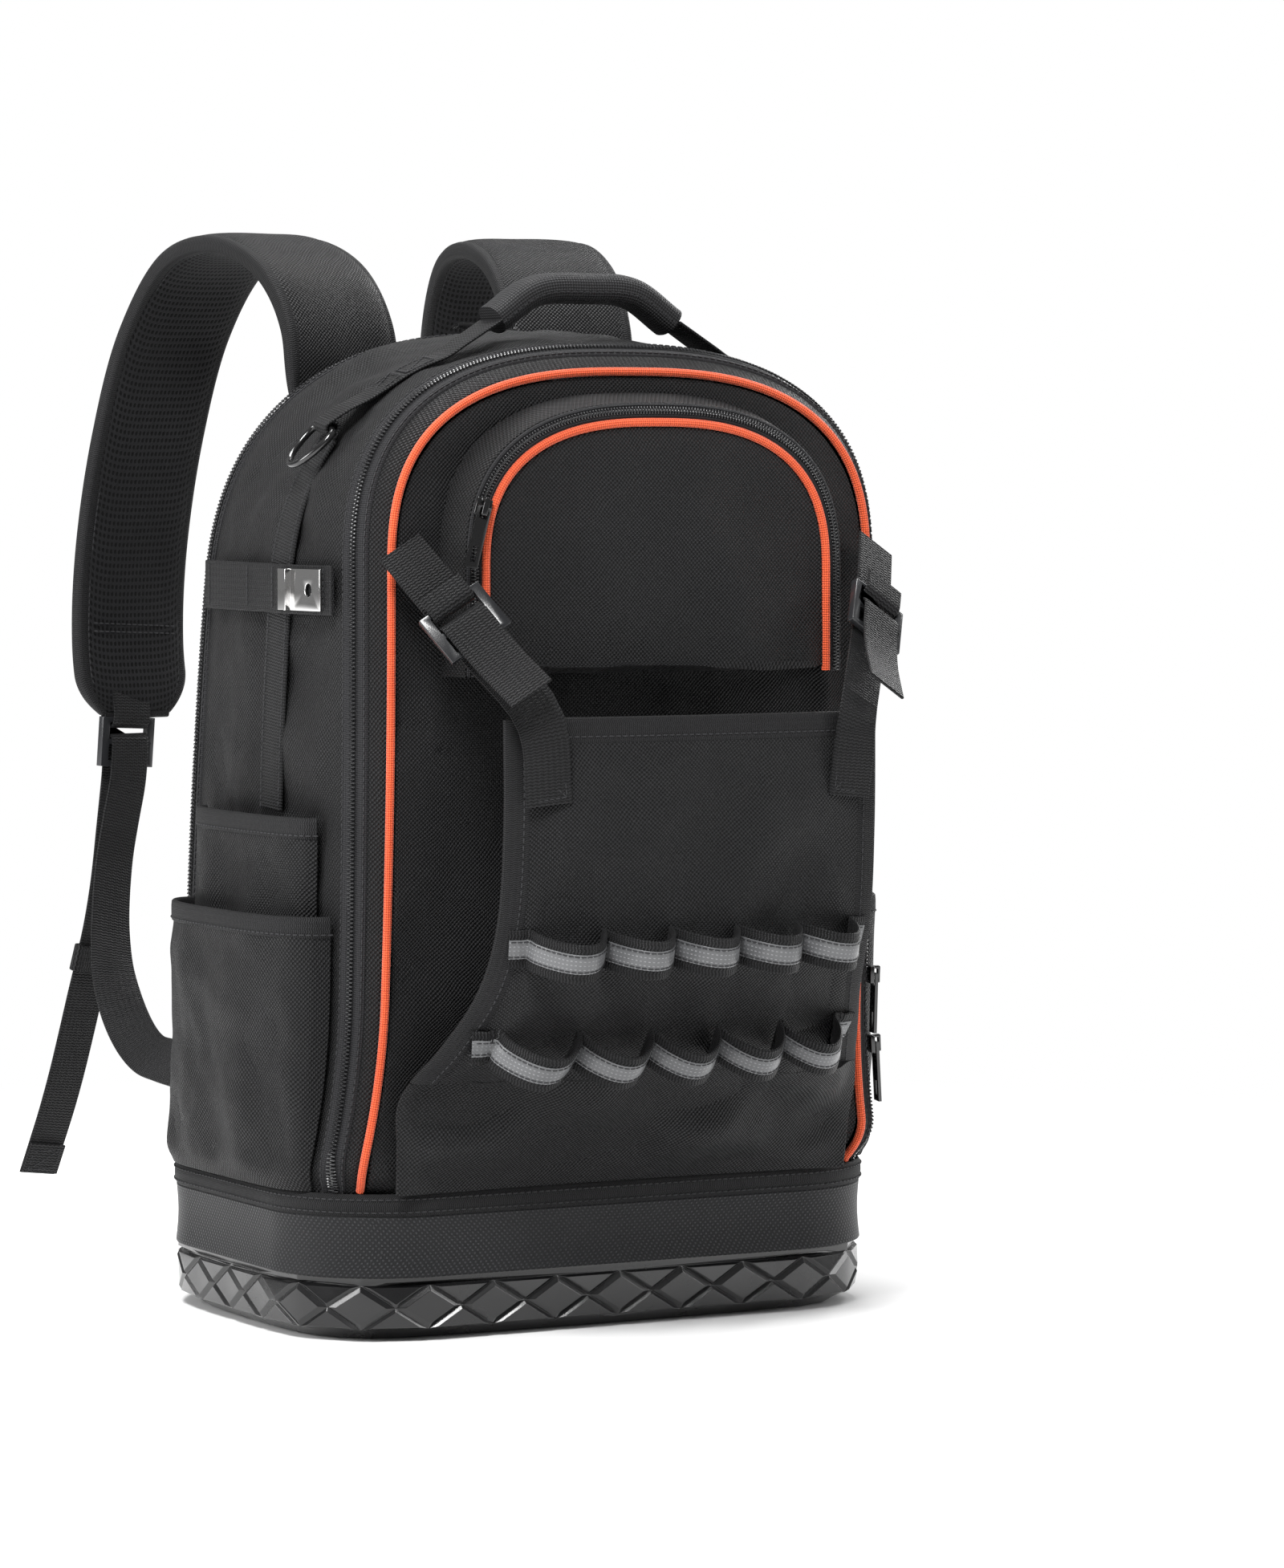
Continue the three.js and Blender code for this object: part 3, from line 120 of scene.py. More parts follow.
class Side(Enum):
    """The bag's left and right, as its wearer has them from behind the front."""

    LEFT = "left"
    RIGHT = "right"

    def place(self, p: Vector) -> Vector:
        """Puts a point that is drawn on the left on this side."""
        return p.copy() if self is Side.LEFT else Vector((-p.x, p.y, p.z))


def lerp(a: float, b: float, t: float) -> float:
    """The value a share t of the way from a to b."""
    return a + (b - a) * t


def steps(count: int, low: float = 0.0, high: float = 1.0) -> list[float]:
    """Evenly spaced values from low to high, count + 1 of them."""
    return [lerp(low, high, i / count) for i in range(count + 1)]


def clamp(value: float, low: float, high: float) -> float:
    """The value, kept between low and high."""
    return max(low, min(high, value))


def column(table: Sequence[dict[str, float]], key: str, at: float) -> float:
    """Reads a column of a table on a smooth curve through its rows.

    Args:
        table: Rows with a place named at and the columns.
        key: The column that is read.
        at: Where along the table.

    Returns:
        The column's value there.
    """
    last = len(table) - 1
    i = 0
    while i < last - 1 and at > table[i + 1]["at"]:
        i += 1

    def slope(k: int) -> float:
        """The column's slope at a row."""
        a, b = table[max(k - 1, 0)], table[min(k + 1, last)]
        return (b[key] - a[key]) / (b["at"] - a["at"])

    low, high = table[i], table[i + 1]
    span = high["at"] - low["at"]
    t = clamp((at - low["at"]) / span, 0, 1)
    t2, t3 = t * t, t**3
    return (
        low[key] * (2 * t3 - 3 * t2 + 1)
        + high[key] * (3 * t2 - 2 * t3)
        + slope(i) * span * (t3 - 2 * t2 + t)
        + slope(i + 1) * span * (t3 - t2)
    )


def smooth_path(points: Sequence[Vector], count: int) -> Line:
    """A centripetal Catmull-Rom curve through points.

    Args:
        points: The points that the curve goes through.
        count: How many steps the whole curve gets.

    Returns:
        The curve's points, count + 1 of them.
    """
    ends = [2 * points[0] - points[1], *points, 2 * points[-1] - points[-2]]
    last = len(points) - 1
    out = []
    for t in steps(count, 0, last):
        i = min(int(t), last - 1)
        p0, p1, p2, p3 = ends[i : i + 4]
        knots = [0.0]
        for a, b in ((p0, p1), (p1, p2), (p2, p3)):
            knots.append(knots[-1] + max((b - a).length, 1e-4) ** 0.5)
        k0, k1, k2, k3 = knots
        u = lerp(k1, k2, t - i)
        a1 = p0 * ((k1 - u) / (k1 - k0)) + p1 * ((u - k0) / (k1 - k0))
        a2 = p1 * ((k2 - u) / (k2 - k1)) + p2 * ((u - k1) / (k2 - k1))
        a3 = p2 * ((k3 - u) / (k3 - k2)) + p3 * ((u - k2) / (k3 - k2))
        b1 = a1 * ((k2 - u) / (k2 - k0)) + a2 * ((u - k0) / (k2 - k0))
        b2 = a2 * ((k3 - u) / (k3 - k1)) + a3 * ((u - k1) / (k3 - k1))
        out.append(b1 * ((k2 - u) / (k2 - k1)) + b2 * ((u - k1) / (k2 - k1)))
    return out


def arch_turn(turn_round: float, leg: float) -> float:
    """The turn round an arch at a way round it: 0 at the shoulders and a quarter at the top.

    Args:
        turn_round: Way round, from the left foot, 0, to the right foot, 1.
        leg: The share of each half that is its straight leg.

    Returns:
        The turn in radians, below 0 on the legs.
    """
    half = min(turn_round, 1 - turn_round) * 2
    return min((half - leg) / (1 - leg), 1) * math.pi / 2


@dataclass(frozen=True)
class Section:
    """The body's outline at one place between its back face and its front piping."""

    foot: float
    waist: float
    head: float
    half: float
    top: float
    arch: float
    power: float

    def arch_point(self, turn: float) -> tuple[float, float]:
        """The arch at a turn, from 0 at the shoulder to a quarter turn at the top."""
        x = self.half * max(math.cos(turn), 0) ** (2 / self.power)
        return x, self.top - self.arch + self.arch * math.sin(turn) ** (2 / self.power)


@dataclass(frozen=True)
class BagShape:
    """The bag's driving sizes and the outline that they give, in millimetres."""

    base_width: float = 340
    base_depth: float = 224
    base_corner: float = 62
    tray_height: float = 33
    band_height: float = 30
    binding_height: float = 12
    body_width: float = 304
    body_height: float = 508
    flare: float = 15
    flare_height: float = 110
    fullness: float = 3
    skin_length: float = 236
    zip_width: float = 19
    panel_bulge: float = 6
    tuck: float = 3.4
    tuck_spread: float = 0.9
    tuck_ease: float = 9
    leg_share: float = 0.5
    sections: tuple = (
        dict(
            at=0.0, foot=0.455, waist=0.43, head=0.225,
            width=0.915, height=0.97, arch=0.25, power=2.5,
        ),
        dict(
            at=0.105, foot=0.41, waist=0.345, head=0.15,
            width=0.99, height=1.0, arch=0.26, power=2.45,
        ),
        dict(
            at=0.5, foot=0.0, waist=-0.05, head=-0.14,
            width=1.0, height=1.0, arch=0.26, power=2.3,
        ),
        dict(
            at=0.905, foot=-0.43, waist=-0.475, head=-0.465,
            width=0.985, height=0.985, arch=0.22, power=2.6,
        ),
        dict(
            at=1.0, foot=-0.478, waist=-0.55, head=-0.545,
            width=0.905, height=0.96, arch=0.2, power=2.7,
        ),
    )

    @property
    def base_top(self) -> float:
        """Height of the base's top edge."""
        return self.tray_height + self.band_height + self.binding_height

    @property
    def body_foot(self) -> float:
        """Height of the body's foot, inside the base."""
        return self.base_top - 10

    @property
    def rear_zip_at(self) -> float:
        """Place of the rear zip on the body's side."""
        return self.sections[1]["at"]

    @property
    def front_zip_at(self) -> float:
        """Place of the front zip on the body's side."""
        return self.sections[3]["at"]

    def share(self, length: float) -> float:
        """A length along the body's side as a share of it."""
        return length / self.skin_length

    def section(self, at: float) -> Section:
        """The outline at a place from the back face, 0, to the front piping, 1."""
        value = {key: column(self.sections, key, at) for key in self.sections[0] if key != "at"}
        fullness = self.fullness * math.sin(math.pi * at) ** 2
        return Section(
            foot=value["foot"] * self.base_depth,
            waist=value["waist"] * self.base_depth,
            head=value["head"] * self.base_depth,
            half=value["width"] * self.body_width / 2 + fullness,
            top=value["height"] * self.body_height,
            arch=value["arch"] * self.body_height,
            power=value["power"],
        )

    def depth(self, section: Section, z: float) -> float:
        """Depth of an outline at a height, on the parabola through its foot, waist and head."""
        t = (z - self.body_foot) / (self.body_height - self.body_foot)
        foot = section.foot * (1 - t) * (1 - 2 * t)
        return foot + section.waist * 4 * t * (1 - t) + section.head * t * (2 * t - 1)

    def flare_at(self, z: float) -> float:
        """How far the body spreads at a height above its foot."""
        return self.flare * max(0, 1 - (z - self.body_foot) / self.flare_height) ** 2

    def tucked(self, p: Vector, extra: float = 0) -> Vector:
        """Keeps a point of the body inside the base, and lets it spread above the binding."""
        inset = self.tuck + extra - max(0, p.z - self.base_top - 2) * self.tuck_spread
        corner_x = self.base_width / 2 - self.base_corner
        corner_y = self.base_depth / 2 - self.base_corner
        near = Vector((clamp(p.x, -corner_x, corner_x), clamp(p.y, -corner_y, corner_y), p.z))
        out = p - near
        limit = self.base_corner - inset
        if out.length < 1:
            return p.copy()
        share = clamp(0.5 + 0.5 * (limit - out.length) / self.tuck_ease, 0, 1)
        reach = lerp(limit, out.length, share) - self.tuck_ease * share * (1 - share)
        return near + out * (reach / out.length)

    def skin(self, at: float, turn_round: float) -> Vector:
        """A point of the body's side.

        Args:
            at: Place from the back face, 0, to the front piping, 1.
            turn_round: Way round the arch, from the left foot, 0, to the right foot, 1.

        Returns:
            The point.
        """
        section = self.section(at)
        side = -1 if turn_round < 0.5 else 1
        half = min(turn_round, 1 - turn_round) * 2
        shoulder = section.top - section.arch
        x, z = section.half, lerp(self.body_foot, shoulder, half / self.leg_share)
        turn = arch_turn(turn_round, self.leg_share)
        if turn > 0:
            x, z = section.arch_point(turn)
        point = Vector((side * (max(x, 0) + self.flare_at(z)), self.depth(section, z), z))
        return self.tucked(point)

    def normal(self, at: float, turn_round: float) -> Vector:
        """The body's outward direction at a place."""
        e = 0.004
        along = self.skin(min(at + e, 1), turn_round) - self.skin(max(at - e, 0), turn_round)
        around = self.skin(at, min(turn_round + e, 1)) - self.skin(at, max(turn_round - e, 0))
        return along.cross(around).normalized()

    def off(self, at: float, turn_round: float, height: float) -> Vector:
        """A point a height above the body's side."""
        return self.skin(at, turn_round) + self.normal(at, turn_round) * height

    def round_at(self, at: float, z: float) -> float:
        """The way round, on the left leg, where a height is reached."""
        section = self.section(at)
        shoulder = section.top - section.arch
        return (z - self.body_foot) / (shoulder - self.body_foot) * self.leg_share / 2

    def place_short_of(self, turn_round: float, distance: float) -> float:
        """The place on the side that lies a distance short of the front piping."""
        end = self.skin(1, turn_round)
        at = 1.0
        while (self.skin(at, turn_round) - end).length < distance:
            at -= 0.001
        return at

    def face_out(self, section: Section, x: float, t: float, start: float = 0.15) -> float:
        """How far a face panel bulges at a place across it and a share of its height."""
        across = min(abs(x) / section.half, 1)
        lift = max(math.sin(math.pi * min(1, start + (1 - start) * t)), 0) ** 0.5
        return self.panel_bulge * (1 - across * across) * lift

    def front_face(self, x: float, z: float) -> float:
        """Depth of the front panel's face at a place."""
        front = self.section(1)
        across = min(abs(x) / front.half, 0.99)
        top = front.top - front.arch * (1 - (1 - across**front.power) ** (1 / front.power))
        t = min(1, (z - self.body_foot) / (top - self.body_foot))
        return self.depth(front, z) - self.face_out(front, x, t)

    def base_ring(self, inset: float, count: int) -> list[tuple[Vector, Vector]]:
        """The base's outline, as points and outward directions, turning left from above."""
        straight_x = self.base_width - 2 * self.base_corner
        straight_y = self.base_depth - 2 * self.base_corner
        quarter = math.pi / 2 * self.base_corner
        lengths = [straight_x, quarter, straight_y, quarter] * 2
        corners = ((1, -1), (1, 1), (-1, 1), (-1, -1))
        out = []
        for i in range(count):
            left = (i / count * sum(lengths) + straight_x / 2) % sum(lengths)
            stretch = 0
            while left > lengths[stretch]:
                left -= lengths[stretch]
                stretch += 1
            corner, is_arc = stretch // 2, stretch % 2 == 1
            turn = (corner + (left / quarter if is_arc else 0)) * math.pi / 2 - math.pi / 2
            right, rear = corners[corner]
            centre = Vector((right * straight_x / 2, rear * straight_y / 2, 0))
            outward = Vector((math.cos(turn), math.sin(turn), 0))
            back = 0 if is_arc else lengths[stretch] - left
            side = Vector((outward.y, -outward.x, 0))
            out.append((centre + outward * (self.base_corner - inset) + side * back, outward))
        return out


SHAPE = BagShape()
LEG_STEPS = 70
ARCH_STEPS = 130


def rounds(low: float = 0.0, high: float = 1.0) -> list[float]:
    """Fine places round the body, closer together at the base, where it spreads."""
    leg = [t**1.3 * SHAPE.leg_share / 2 for t in steps(LEG_STEPS)]
    arch = steps(ARCH_STEPS, SHAPE.leg_share / 2, 1 - SHAPE.leg_share / 2)[1:-1]
    every = [*leg, *arch, *[1 - r for r in reversed(leg)]]
    return [low, *[r for r in every if low < r < high], high]


def array(points: Sequence[Vector]) -> Grid:
    """Points as rows of numbers."""
    return np.array([tuple(p) for p in points], float)


def unit(vectors: Grid) -> Grid:
    """Vectors at length one, along the last axis."""
    return vectors / np.maximum(np.linalg.norm(vectors, axis=-1, keepdims=True), 1e-9)


def lengths_along(points: Grid, axis: int) -> Grid:
    """Running length along one axis of a grid of points."""
    hops = np.linalg.norm(np.diff(points, axis=axis), axis=-1)
    start = np.zeros_like(np.take(hops, [0], axis=axis))
    return np.cumsum(np.concatenate([start, hops], axis=axis), axis=axis)


def grid_normals(rows: Grid, closed: bool = False) -> Grid:
    """Unit normals of a grid of points, which faces its viewer as its rows run right and up."""
    if closed:
        across = np.roll(rows, -1, axis=1) - np.roll(rows, 1, axis=1)
    else:
        across = np.gradient(rows, axis=1)
    return unit(np.cross(across, np.gradient(rows, axis=0)))


def line_frames(line: Grid, axes: Grid, closed: bool = False) -> tuple[Grid, Grid, Grid]:
    """Directions along, across and through a piece that follows a line.

    Args:
        line: The line's points.
        axes: Wished directions across it, one or one for each point.
        closed: Whether the line is a ring.

    Returns:
        Unit directions at each point: along, across and through.
    """
    if closed:
        along = unit(np.roll(line, -1, axis=0) - np.roll(line, 1, axis=0))
    else:
        along = unit(np.gradient(line, axis=0))
    across = unit(axes - along * np.sum(axes * along, axis=1, keepdims=True))
    return along, across, np.cross(across, along)


def arc_uv(rows: Grid) -> Grid:
    """A UV map in metres that follows the cloth, measured from the middle column."""
    across = lengths_along(rows, 1)
    up = lengths_along(rows, 0)
    middle = across[:, across.shape[1] // 2 : across.shape[1] // 2 + 1]
    return np.stack([across - middle, up], axis=-1) * MM


def flat_uv(rows: Grid) -> Grid:
    """A UV map in metres that looks straight at the front, for flat panels."""
    return rows[..., [0, 2]] * MM


class Surface:
    """Faces in millimetres with a UV map in metres, gathered from one or more shapes."""

    def __init__(self) -> None:
        """Starts with no faces."""
        self.points: list[Grid] = []
        self.faces: list[Grid] = []
        self.uvs: list[Grid] = []
        self.count = 0

    def add(self, points: Grid, faces: Grid, uvs: Grid) -> "Surface":
        """Adds faces of one number of corners.

        Args:
            points: Points in millimetres.
            faces: Rows of point numbers.
            uvs: One UV pair for each corner of each face.

        Returns:
            This surface.
        """
        self.points.append(np.asarray(points, float).reshape(-1, 3))
        self.faces.append(np.asarray(faces, int) + self.count)
        self.uvs.append(np.asarray(uvs, float).reshape(-1, 2))
        self.count += len(self.points[-1])
        return self

    def grid(self, rows: Grid, uv: Grid, flipped: bool = False, closed: bool = False) -> "Surface":
        """Adds a grid of quads. A closed one's UV grid has one more column than its points."""
        height, width = rows.shape[:2]
        number = np.arange(height * width).reshape(height, width)
        if closed:
            number = np.concatenate([number, number[:, :1]], axis=1)
        corners = (slice(None, -1), slice(1, None))
        order = [(0, 0), (0, 1), (1, 1), (1, 0)]
        if flipped:
            order.reverse()
        faces = np.stack([number[corners[i], corners[j]] for i, j in order], axis=-1)
        uvs = np.stack([uv[corners[i], corners[j]] for i, j in order], axis=-2)
        return self.add(rows, faces.reshape(-1, 4), uvs)

    def join(self, other: "Surface") -> "Surface":
        """Adds all of another surface's faces."""
        start = self.count
        self.points += other.points
        self.faces += [faces + start for faces in other.faces]
        self.uvs += other.uvs
        self.count += other.count
        return self

    def mirrored(self) -> "Surface":
        """The same surface on the bag's other side."""
        twin = Surface()
        twin.points = [points * (-1, 1, 1) for points in self.points]
        twin.faces = [faces[:, ::-1] for faces in self.faces]
        widths = [faces.shape[1] for faces in self.faces]
        pairs = zip(self.uvs, widths)
        twin.uvs = [uv.reshape(-1, width, 2)[:, ::-1].reshape(-1, 2) for uv, width in pairs]
        twin.count = self.count
        return twin

    def mesh(self, name: str, crease: float = 50) -> bpy.types.Mesh:
        """The Blender mesh, in metres, smooth up to a crease angle in degrees."""
        mesh = bpy.data.meshes.new(name)
        points = np.concatenate(self.points) * MM
        sizes = np.concatenate([np.full(len(f), f.shape[1]) for f in self.faces])
        loops = np.concatenate([f.ravel() for f in self.faces])
        mesh.vertices.add(len(points))
        mesh.vertices.foreach_set("co", points.ravel())
        mesh.loops.add(len(loops))
        mesh.loops.foreach_set("vertex_index", loops)
        mesh.polygons.add(len(sizes))
        mesh.polygons.foreach_set("loop_start", np.concatenate([[0], np.cumsum(sizes)[:-1]]))
        mesh.polygons.foreach_set("use_smooth", np.ones(len(sizes), bool))
        layer = mesh.uv_layers.new(name="weave")
        layer.data.foreach_set("uv", np.concatenate(self.uvs).ravel())
        mesh.update(calc_edges=True)
        mesh.validate()
        mesh.set_sharp_from_angle(angle=math.radians(crease))
        return mesh


HEM_STEPS = 4
HEM_BULGE = 0.3


def sheet(
    rows: Grid,
    thickness: float,
    relief: Grid | float = 0.0,
    uv: Grid | None = None,
    closed: bool = False,
) -> Surface:
    """A sheet of cloth under a grid of points, with its wall inwards and soft edges.

    Args:
        rows: The outside, as rows of points that run right and up when seen from outside.
        thickness: The wall.
        relief: How far each point of the outside is lifted.
        uv: The outside's UV map. It follows the cloth if it is left out.
        closed: Whether each row is a ring.

    Returns:
        The sheet's faces.
    """
    normals = grid_normals(rows, closed)
    lift = np.broadcast_to(relief, rows.shape[:2])[..., None]
    outer = rows + normals * lift
    inner = rows - normals * thickness
    if uv is None:
        ringed = np.concatenate([rows, rows[:, :1]], axis=1) if closed else rows
        uv = arc_uv(ringed)
    out = Surface().grid(outer, uv, closed=closed).grid(inner, uv, flipped=True, closed=closed)

    def edge(place: tuple, shift: tuple[int, int], outwards: Grid, flipped: bool) -> None:
        """Closes the edge at a place of the grids with a rounded hem."""
        strips, uvs = [], []
        for t in steps(HEM_STEPS):
            inwards = (inner[place] - outer[place]) * (1 - math.cos(math.pi * t)) / 2
            bulge = outwards[place] * math.sin(math.pi * t) * thickness * HEM_BULGE
            strips.append(outer[place] + inwards + bulge)
            uvs.append(uv[place] + np.array(shift) * thickness * MM * t)
        ringed = closed and len(uvs[0]) > len(strips[0])
        out.grid(np.stack(strips), np.stack(uvs), flipped=flipped, closed=ringed)

    up, every = unit(np.gradient(rows, axis=0)), slice(None)
    edge((0,), (0, -1), -up, True)
    edge((-1,), (0, 1), up, False)
    if not closed:
        across = unit(np.gradient(rows, axis=1))
        edge((every, 0), (-1, 0), -across, False)
        edge((every, -1), (1, 0), across, True)
    return out


def sweep(
    points: Sequence[Vector],
    axes: Sequence[Vector] | Vector,
    section: Sequence[tuple[float, float]],
    closed: bool = False,
    widths: Sequence[float] | None = None,
) -> Surface:
    """A section swept along a line.

    Args:
        points: The line.
        axes: The direction across the piece, one or one for each point.
        section: Pairs of places across and through the piece, turning left round it.
        closed: Whether the line is a ring.
        widths: A scale for each point's section.

    Returns:
        The swept faces, with ends where the line is open.
    """
    line = array(points)
    wished = array([axes]) if isinstance(axes, Vector) else array(axes)
    wanted = np.broadcast_to(wished, line.shape)
    _, across, normal = line_frames(line, wanted, closed)
    shape = np.array(section, float)
    scale = np.ones(len(line)) if widths is None else np.array(widths)
    rings = (
        line[:, None]
        + across[:, None] * (shape[None, :, :1] * scale[:, None, None])
        + normal[:, None] * (shape[None, :, 1:] * scale[:, None, None])
    )
    loop = np.concatenate([shape, shape[:1]])
    girth = np.concatenate([[0], np.cumsum(np.linalg.norm(np.diff(loop, axis=0), axis=1))])
    run = lengths_along(np.concatenate([line, line[:1]]) if closed else line, 0)
    uv = np.stack(np.meshgrid(girth, run), axis=-1) * MM
    out = Surface()
    if closed:
        rings = np.concatenate([rings, rings[:1]])
    out.grid(rings, uv, flipped=True, closed=True)
    if not closed:
        size = len(shape)
        for ring, flipped in ((rings[0], False), (rings[-1], True)):
            order = np.arange(size)[None]
            out.add(ring, order[:, ::-1] if flipped else order, shape[::-1 if flipped else 1] * MM)
    return out


def oval(width: float, thickness: float, sides: int, power: float = 2) -> list[tuple[float, float]]:
    """A superellipse's section for sweep."""
    out = []
    for share in steps(sides)[:-1]:
        c, s = math.cos(share * math.tau), math.sin(share * math.tau)
        scale = (abs(c) ** power + abs(s) ** power) ** (-1 / power)
        out.append((width / 2 * c * scale, thickness / 2 * s * scale))
    return out


def strap_section(
    width: float = WEB_WIDTH, thickness: float = WEBBING
) -> list[tuple[float, float]]:
    """Webbing's section for sweep: flat, with round selvedges."""
    r = thickness / 2
    turns = steps(4, -math.pi / 2, math.pi / 2)
    right = [(width / 2 - r + r * math.cos(a), r * math.sin(a)) for a in turns]
    left = [(-w, -n) for w, n in right]
    return [*right, *left]


def eased(
    points: Sequence[Vector], axes: Sequence[Vector], pitch: float = 2.5
) -> tuple[Line, Line]:
    """A strap's line and axes on a smooth curve, finely enough to bend softly."""
    run = sum((b - a).length for a, b in zip(points, points[1:]))
    count = max(len(points) * 3, int(run / pitch))
    return smooth_path(points, count), smooth_path(axes, count)


def strap(
    points: Sequence[Vector],
    axes: Sequence[Vector] | Vector,
    width: float = WEB_WIDTH,
    thickness: float = WEBBING,
) -> Surface:
    """A length of webbing along points, bent smoothly."""
    each = [axes] * len(points) if isinstance(axes, Vector) else list(axes)
    line, fine_axes = eased(points, each)
    return sweep(line, fine_axes, strap_section(width, thickness))


def capsule(length: float, radius: float, sides: int = 6) -> Surface:
    """A small round bar along X, for stitches and zip teeth."""
    half = length / 2
    rings = []
    for share, wide in ((-1, 0.35), (-0.72, 0.92), (0.72, 0.92), (1, 0.35)):
        turn = np.linspace(0, math.tau, sides, endpoint=False)
        ring = np.stack([np.full(sides, share * half), np.cos(turn), np.sin(turn)], axis=-1)
        rings.append(ring * (1, wide * radius, wide * radius))
    rows = np.stack(rings)
    run = np.stack(np.meshgrid(np.linspace(0, 1, sides + 1), (0, 0.1, 0.9, 1)), axis=-1)
    out = Surface().grid(rows, run * length * MM, flipped=True, closed=True)
    order = np.arange(sides)[None]
    out.add(rows[0], order, np.zeros((sides, 2)))
    return out.add(rows[-1], order[:, ::-1], np.zeros((sides, 2)))


def copies(template: Surface, places: Grid, x_axes: Grid, z_axes: Grid) -> Surface:
    """Copies of a small shape at places, each turned to its own axes."""
    x_axes = unit(x_axes)
    z_axes = unit(z_axes - x_axes * np.sum(z_axes * x_axes, axis=1, keepdims=True))
    turns = np.stack([x_axes, np.cross(z_axes, x_axes), z_axes], axis=1)
    out = Surface()
    total = 0
    for points, faces, uvs in zip(template.points, template.faces, template.uvs):
        start = total
        total += len(points)
        moved = np.einsum("pk,nkc->npc", points, turns) + places[:, None]
        local = faces - start
        every = local[None] + (np.arange(len(places)) * len(points))[:, None, None]
        out.add(moved, every.reshape(-1, faces.shape[1]), np.tile(uvs, (len(places), 1)))
    return out


STITCH_LENGTH = 2.7
STITCH_PITCH = 3.7
STITCH_RADIUS = 0.42


def stitches(line: Grid, normals: Grid, pitch: float = STITCH_PITCH) -> Surface:
    """A row of stitches along a line on the cloth.

    Args:
        line: Points along the seam.
        normals: The cloth's outward direction at each.
        pitch: From one stitch to the next.

    Returns:
        The stitches, half sunk into the cloth.
    """
    run = lengths_along(line, 0)
    places = np.arange(pitch / 2, run[-1], pitch)
    at = [np.interp(places, run, line[:, k]) for k in range(3)]
    facing = [np.interp(places, run, normals[:, k]) for k in range(3)]
    ahead = [np.interp(places + 0.5, run, line[:, k]) - at[k] for k in range(3)]
    behind = [at[k] - np.interp(places - 0.5, run, line[:, k]) for k in range(3)]
    along = np.array(ahead) + np.array(behind)
    centre = np.array(at).T + unit(np.array(facing).T) * STITCH_RADIUS * 0.3
    return copies(capsule(STITCH_LENGTH, STITCH_RADIUS), centre, along.T, np.array(facing).T)


def ripple(rows: Grid, size: float, height: float, seed: float = 0) -> Grid:
    """Soft unevenness of cloth over a grid of points, from minus to plus its height."""
    flat = rows.reshape(-1, 3) / size
    shift = Vector((seed * 7.1, seed * 3.3, seed * 5.7))
    values = [noise.noise(Vector(p) + shift) for p in flat]
    return np.array(values).reshape(rows.shape[:2]) * height


@dataclass(frozen=True)
class Drape:
    """Cloth's soft unevenness: broad waves with finer ones on them, from a seed and the next."""

    size: float
    height: float
    fine_size: float
    fine_height: float
    seed: float

    def over(self, rows: Grid) -> Grid:
        """The lift over a grid of points."""
        broad = ripple(rows, self.size, self.height, self.seed)
        return broad + ripple(rows, self.fine_size, self.fine_height, self.seed + 1)


@dataclass(frozen=True)
class Ridge:
    """A straight ridge, or with a height below 0 a groove."""

    at: float
    width: float
    height: float = 1.0

    def over(self, values: Grid) -> Grid:
        """The lift at places across the ridge."""
        return self.height * np.exp(-(((values - self.at) / self.width) ** 2))


def below(values: Grid, top: float, span: float) -> Grid:
    """0 above a height, and 1 once a span below it."""
    return np.clip((top - values) / span, 0, 1)


def above(values: Grid, foot: float, span: float) -> Grid:
    """0 below a height, and 1 once a span above it."""
    return np.clip((values - foot) / span, 0, 1)


def faded(count: int, reach: float = 0.12) -> Grid:
    """A row that is 0 at both ends and 1 between them, so that seams stay in place."""
    t = np.linspace(0, 1, count)
    near = np.clip(np.minimum(t, 1 - t) / reach, 0, 1)
    return near * near * (3 - 2 * near)


def pinned(rows: Grid, reach: float = 0.12) -> Grid:
    """A mask that is 0 at all four edges of a grid and 1 inside it."""
    return faded(rows.shape[0], reach)[:, None] * faded(rows.shape[1], reach)[None]


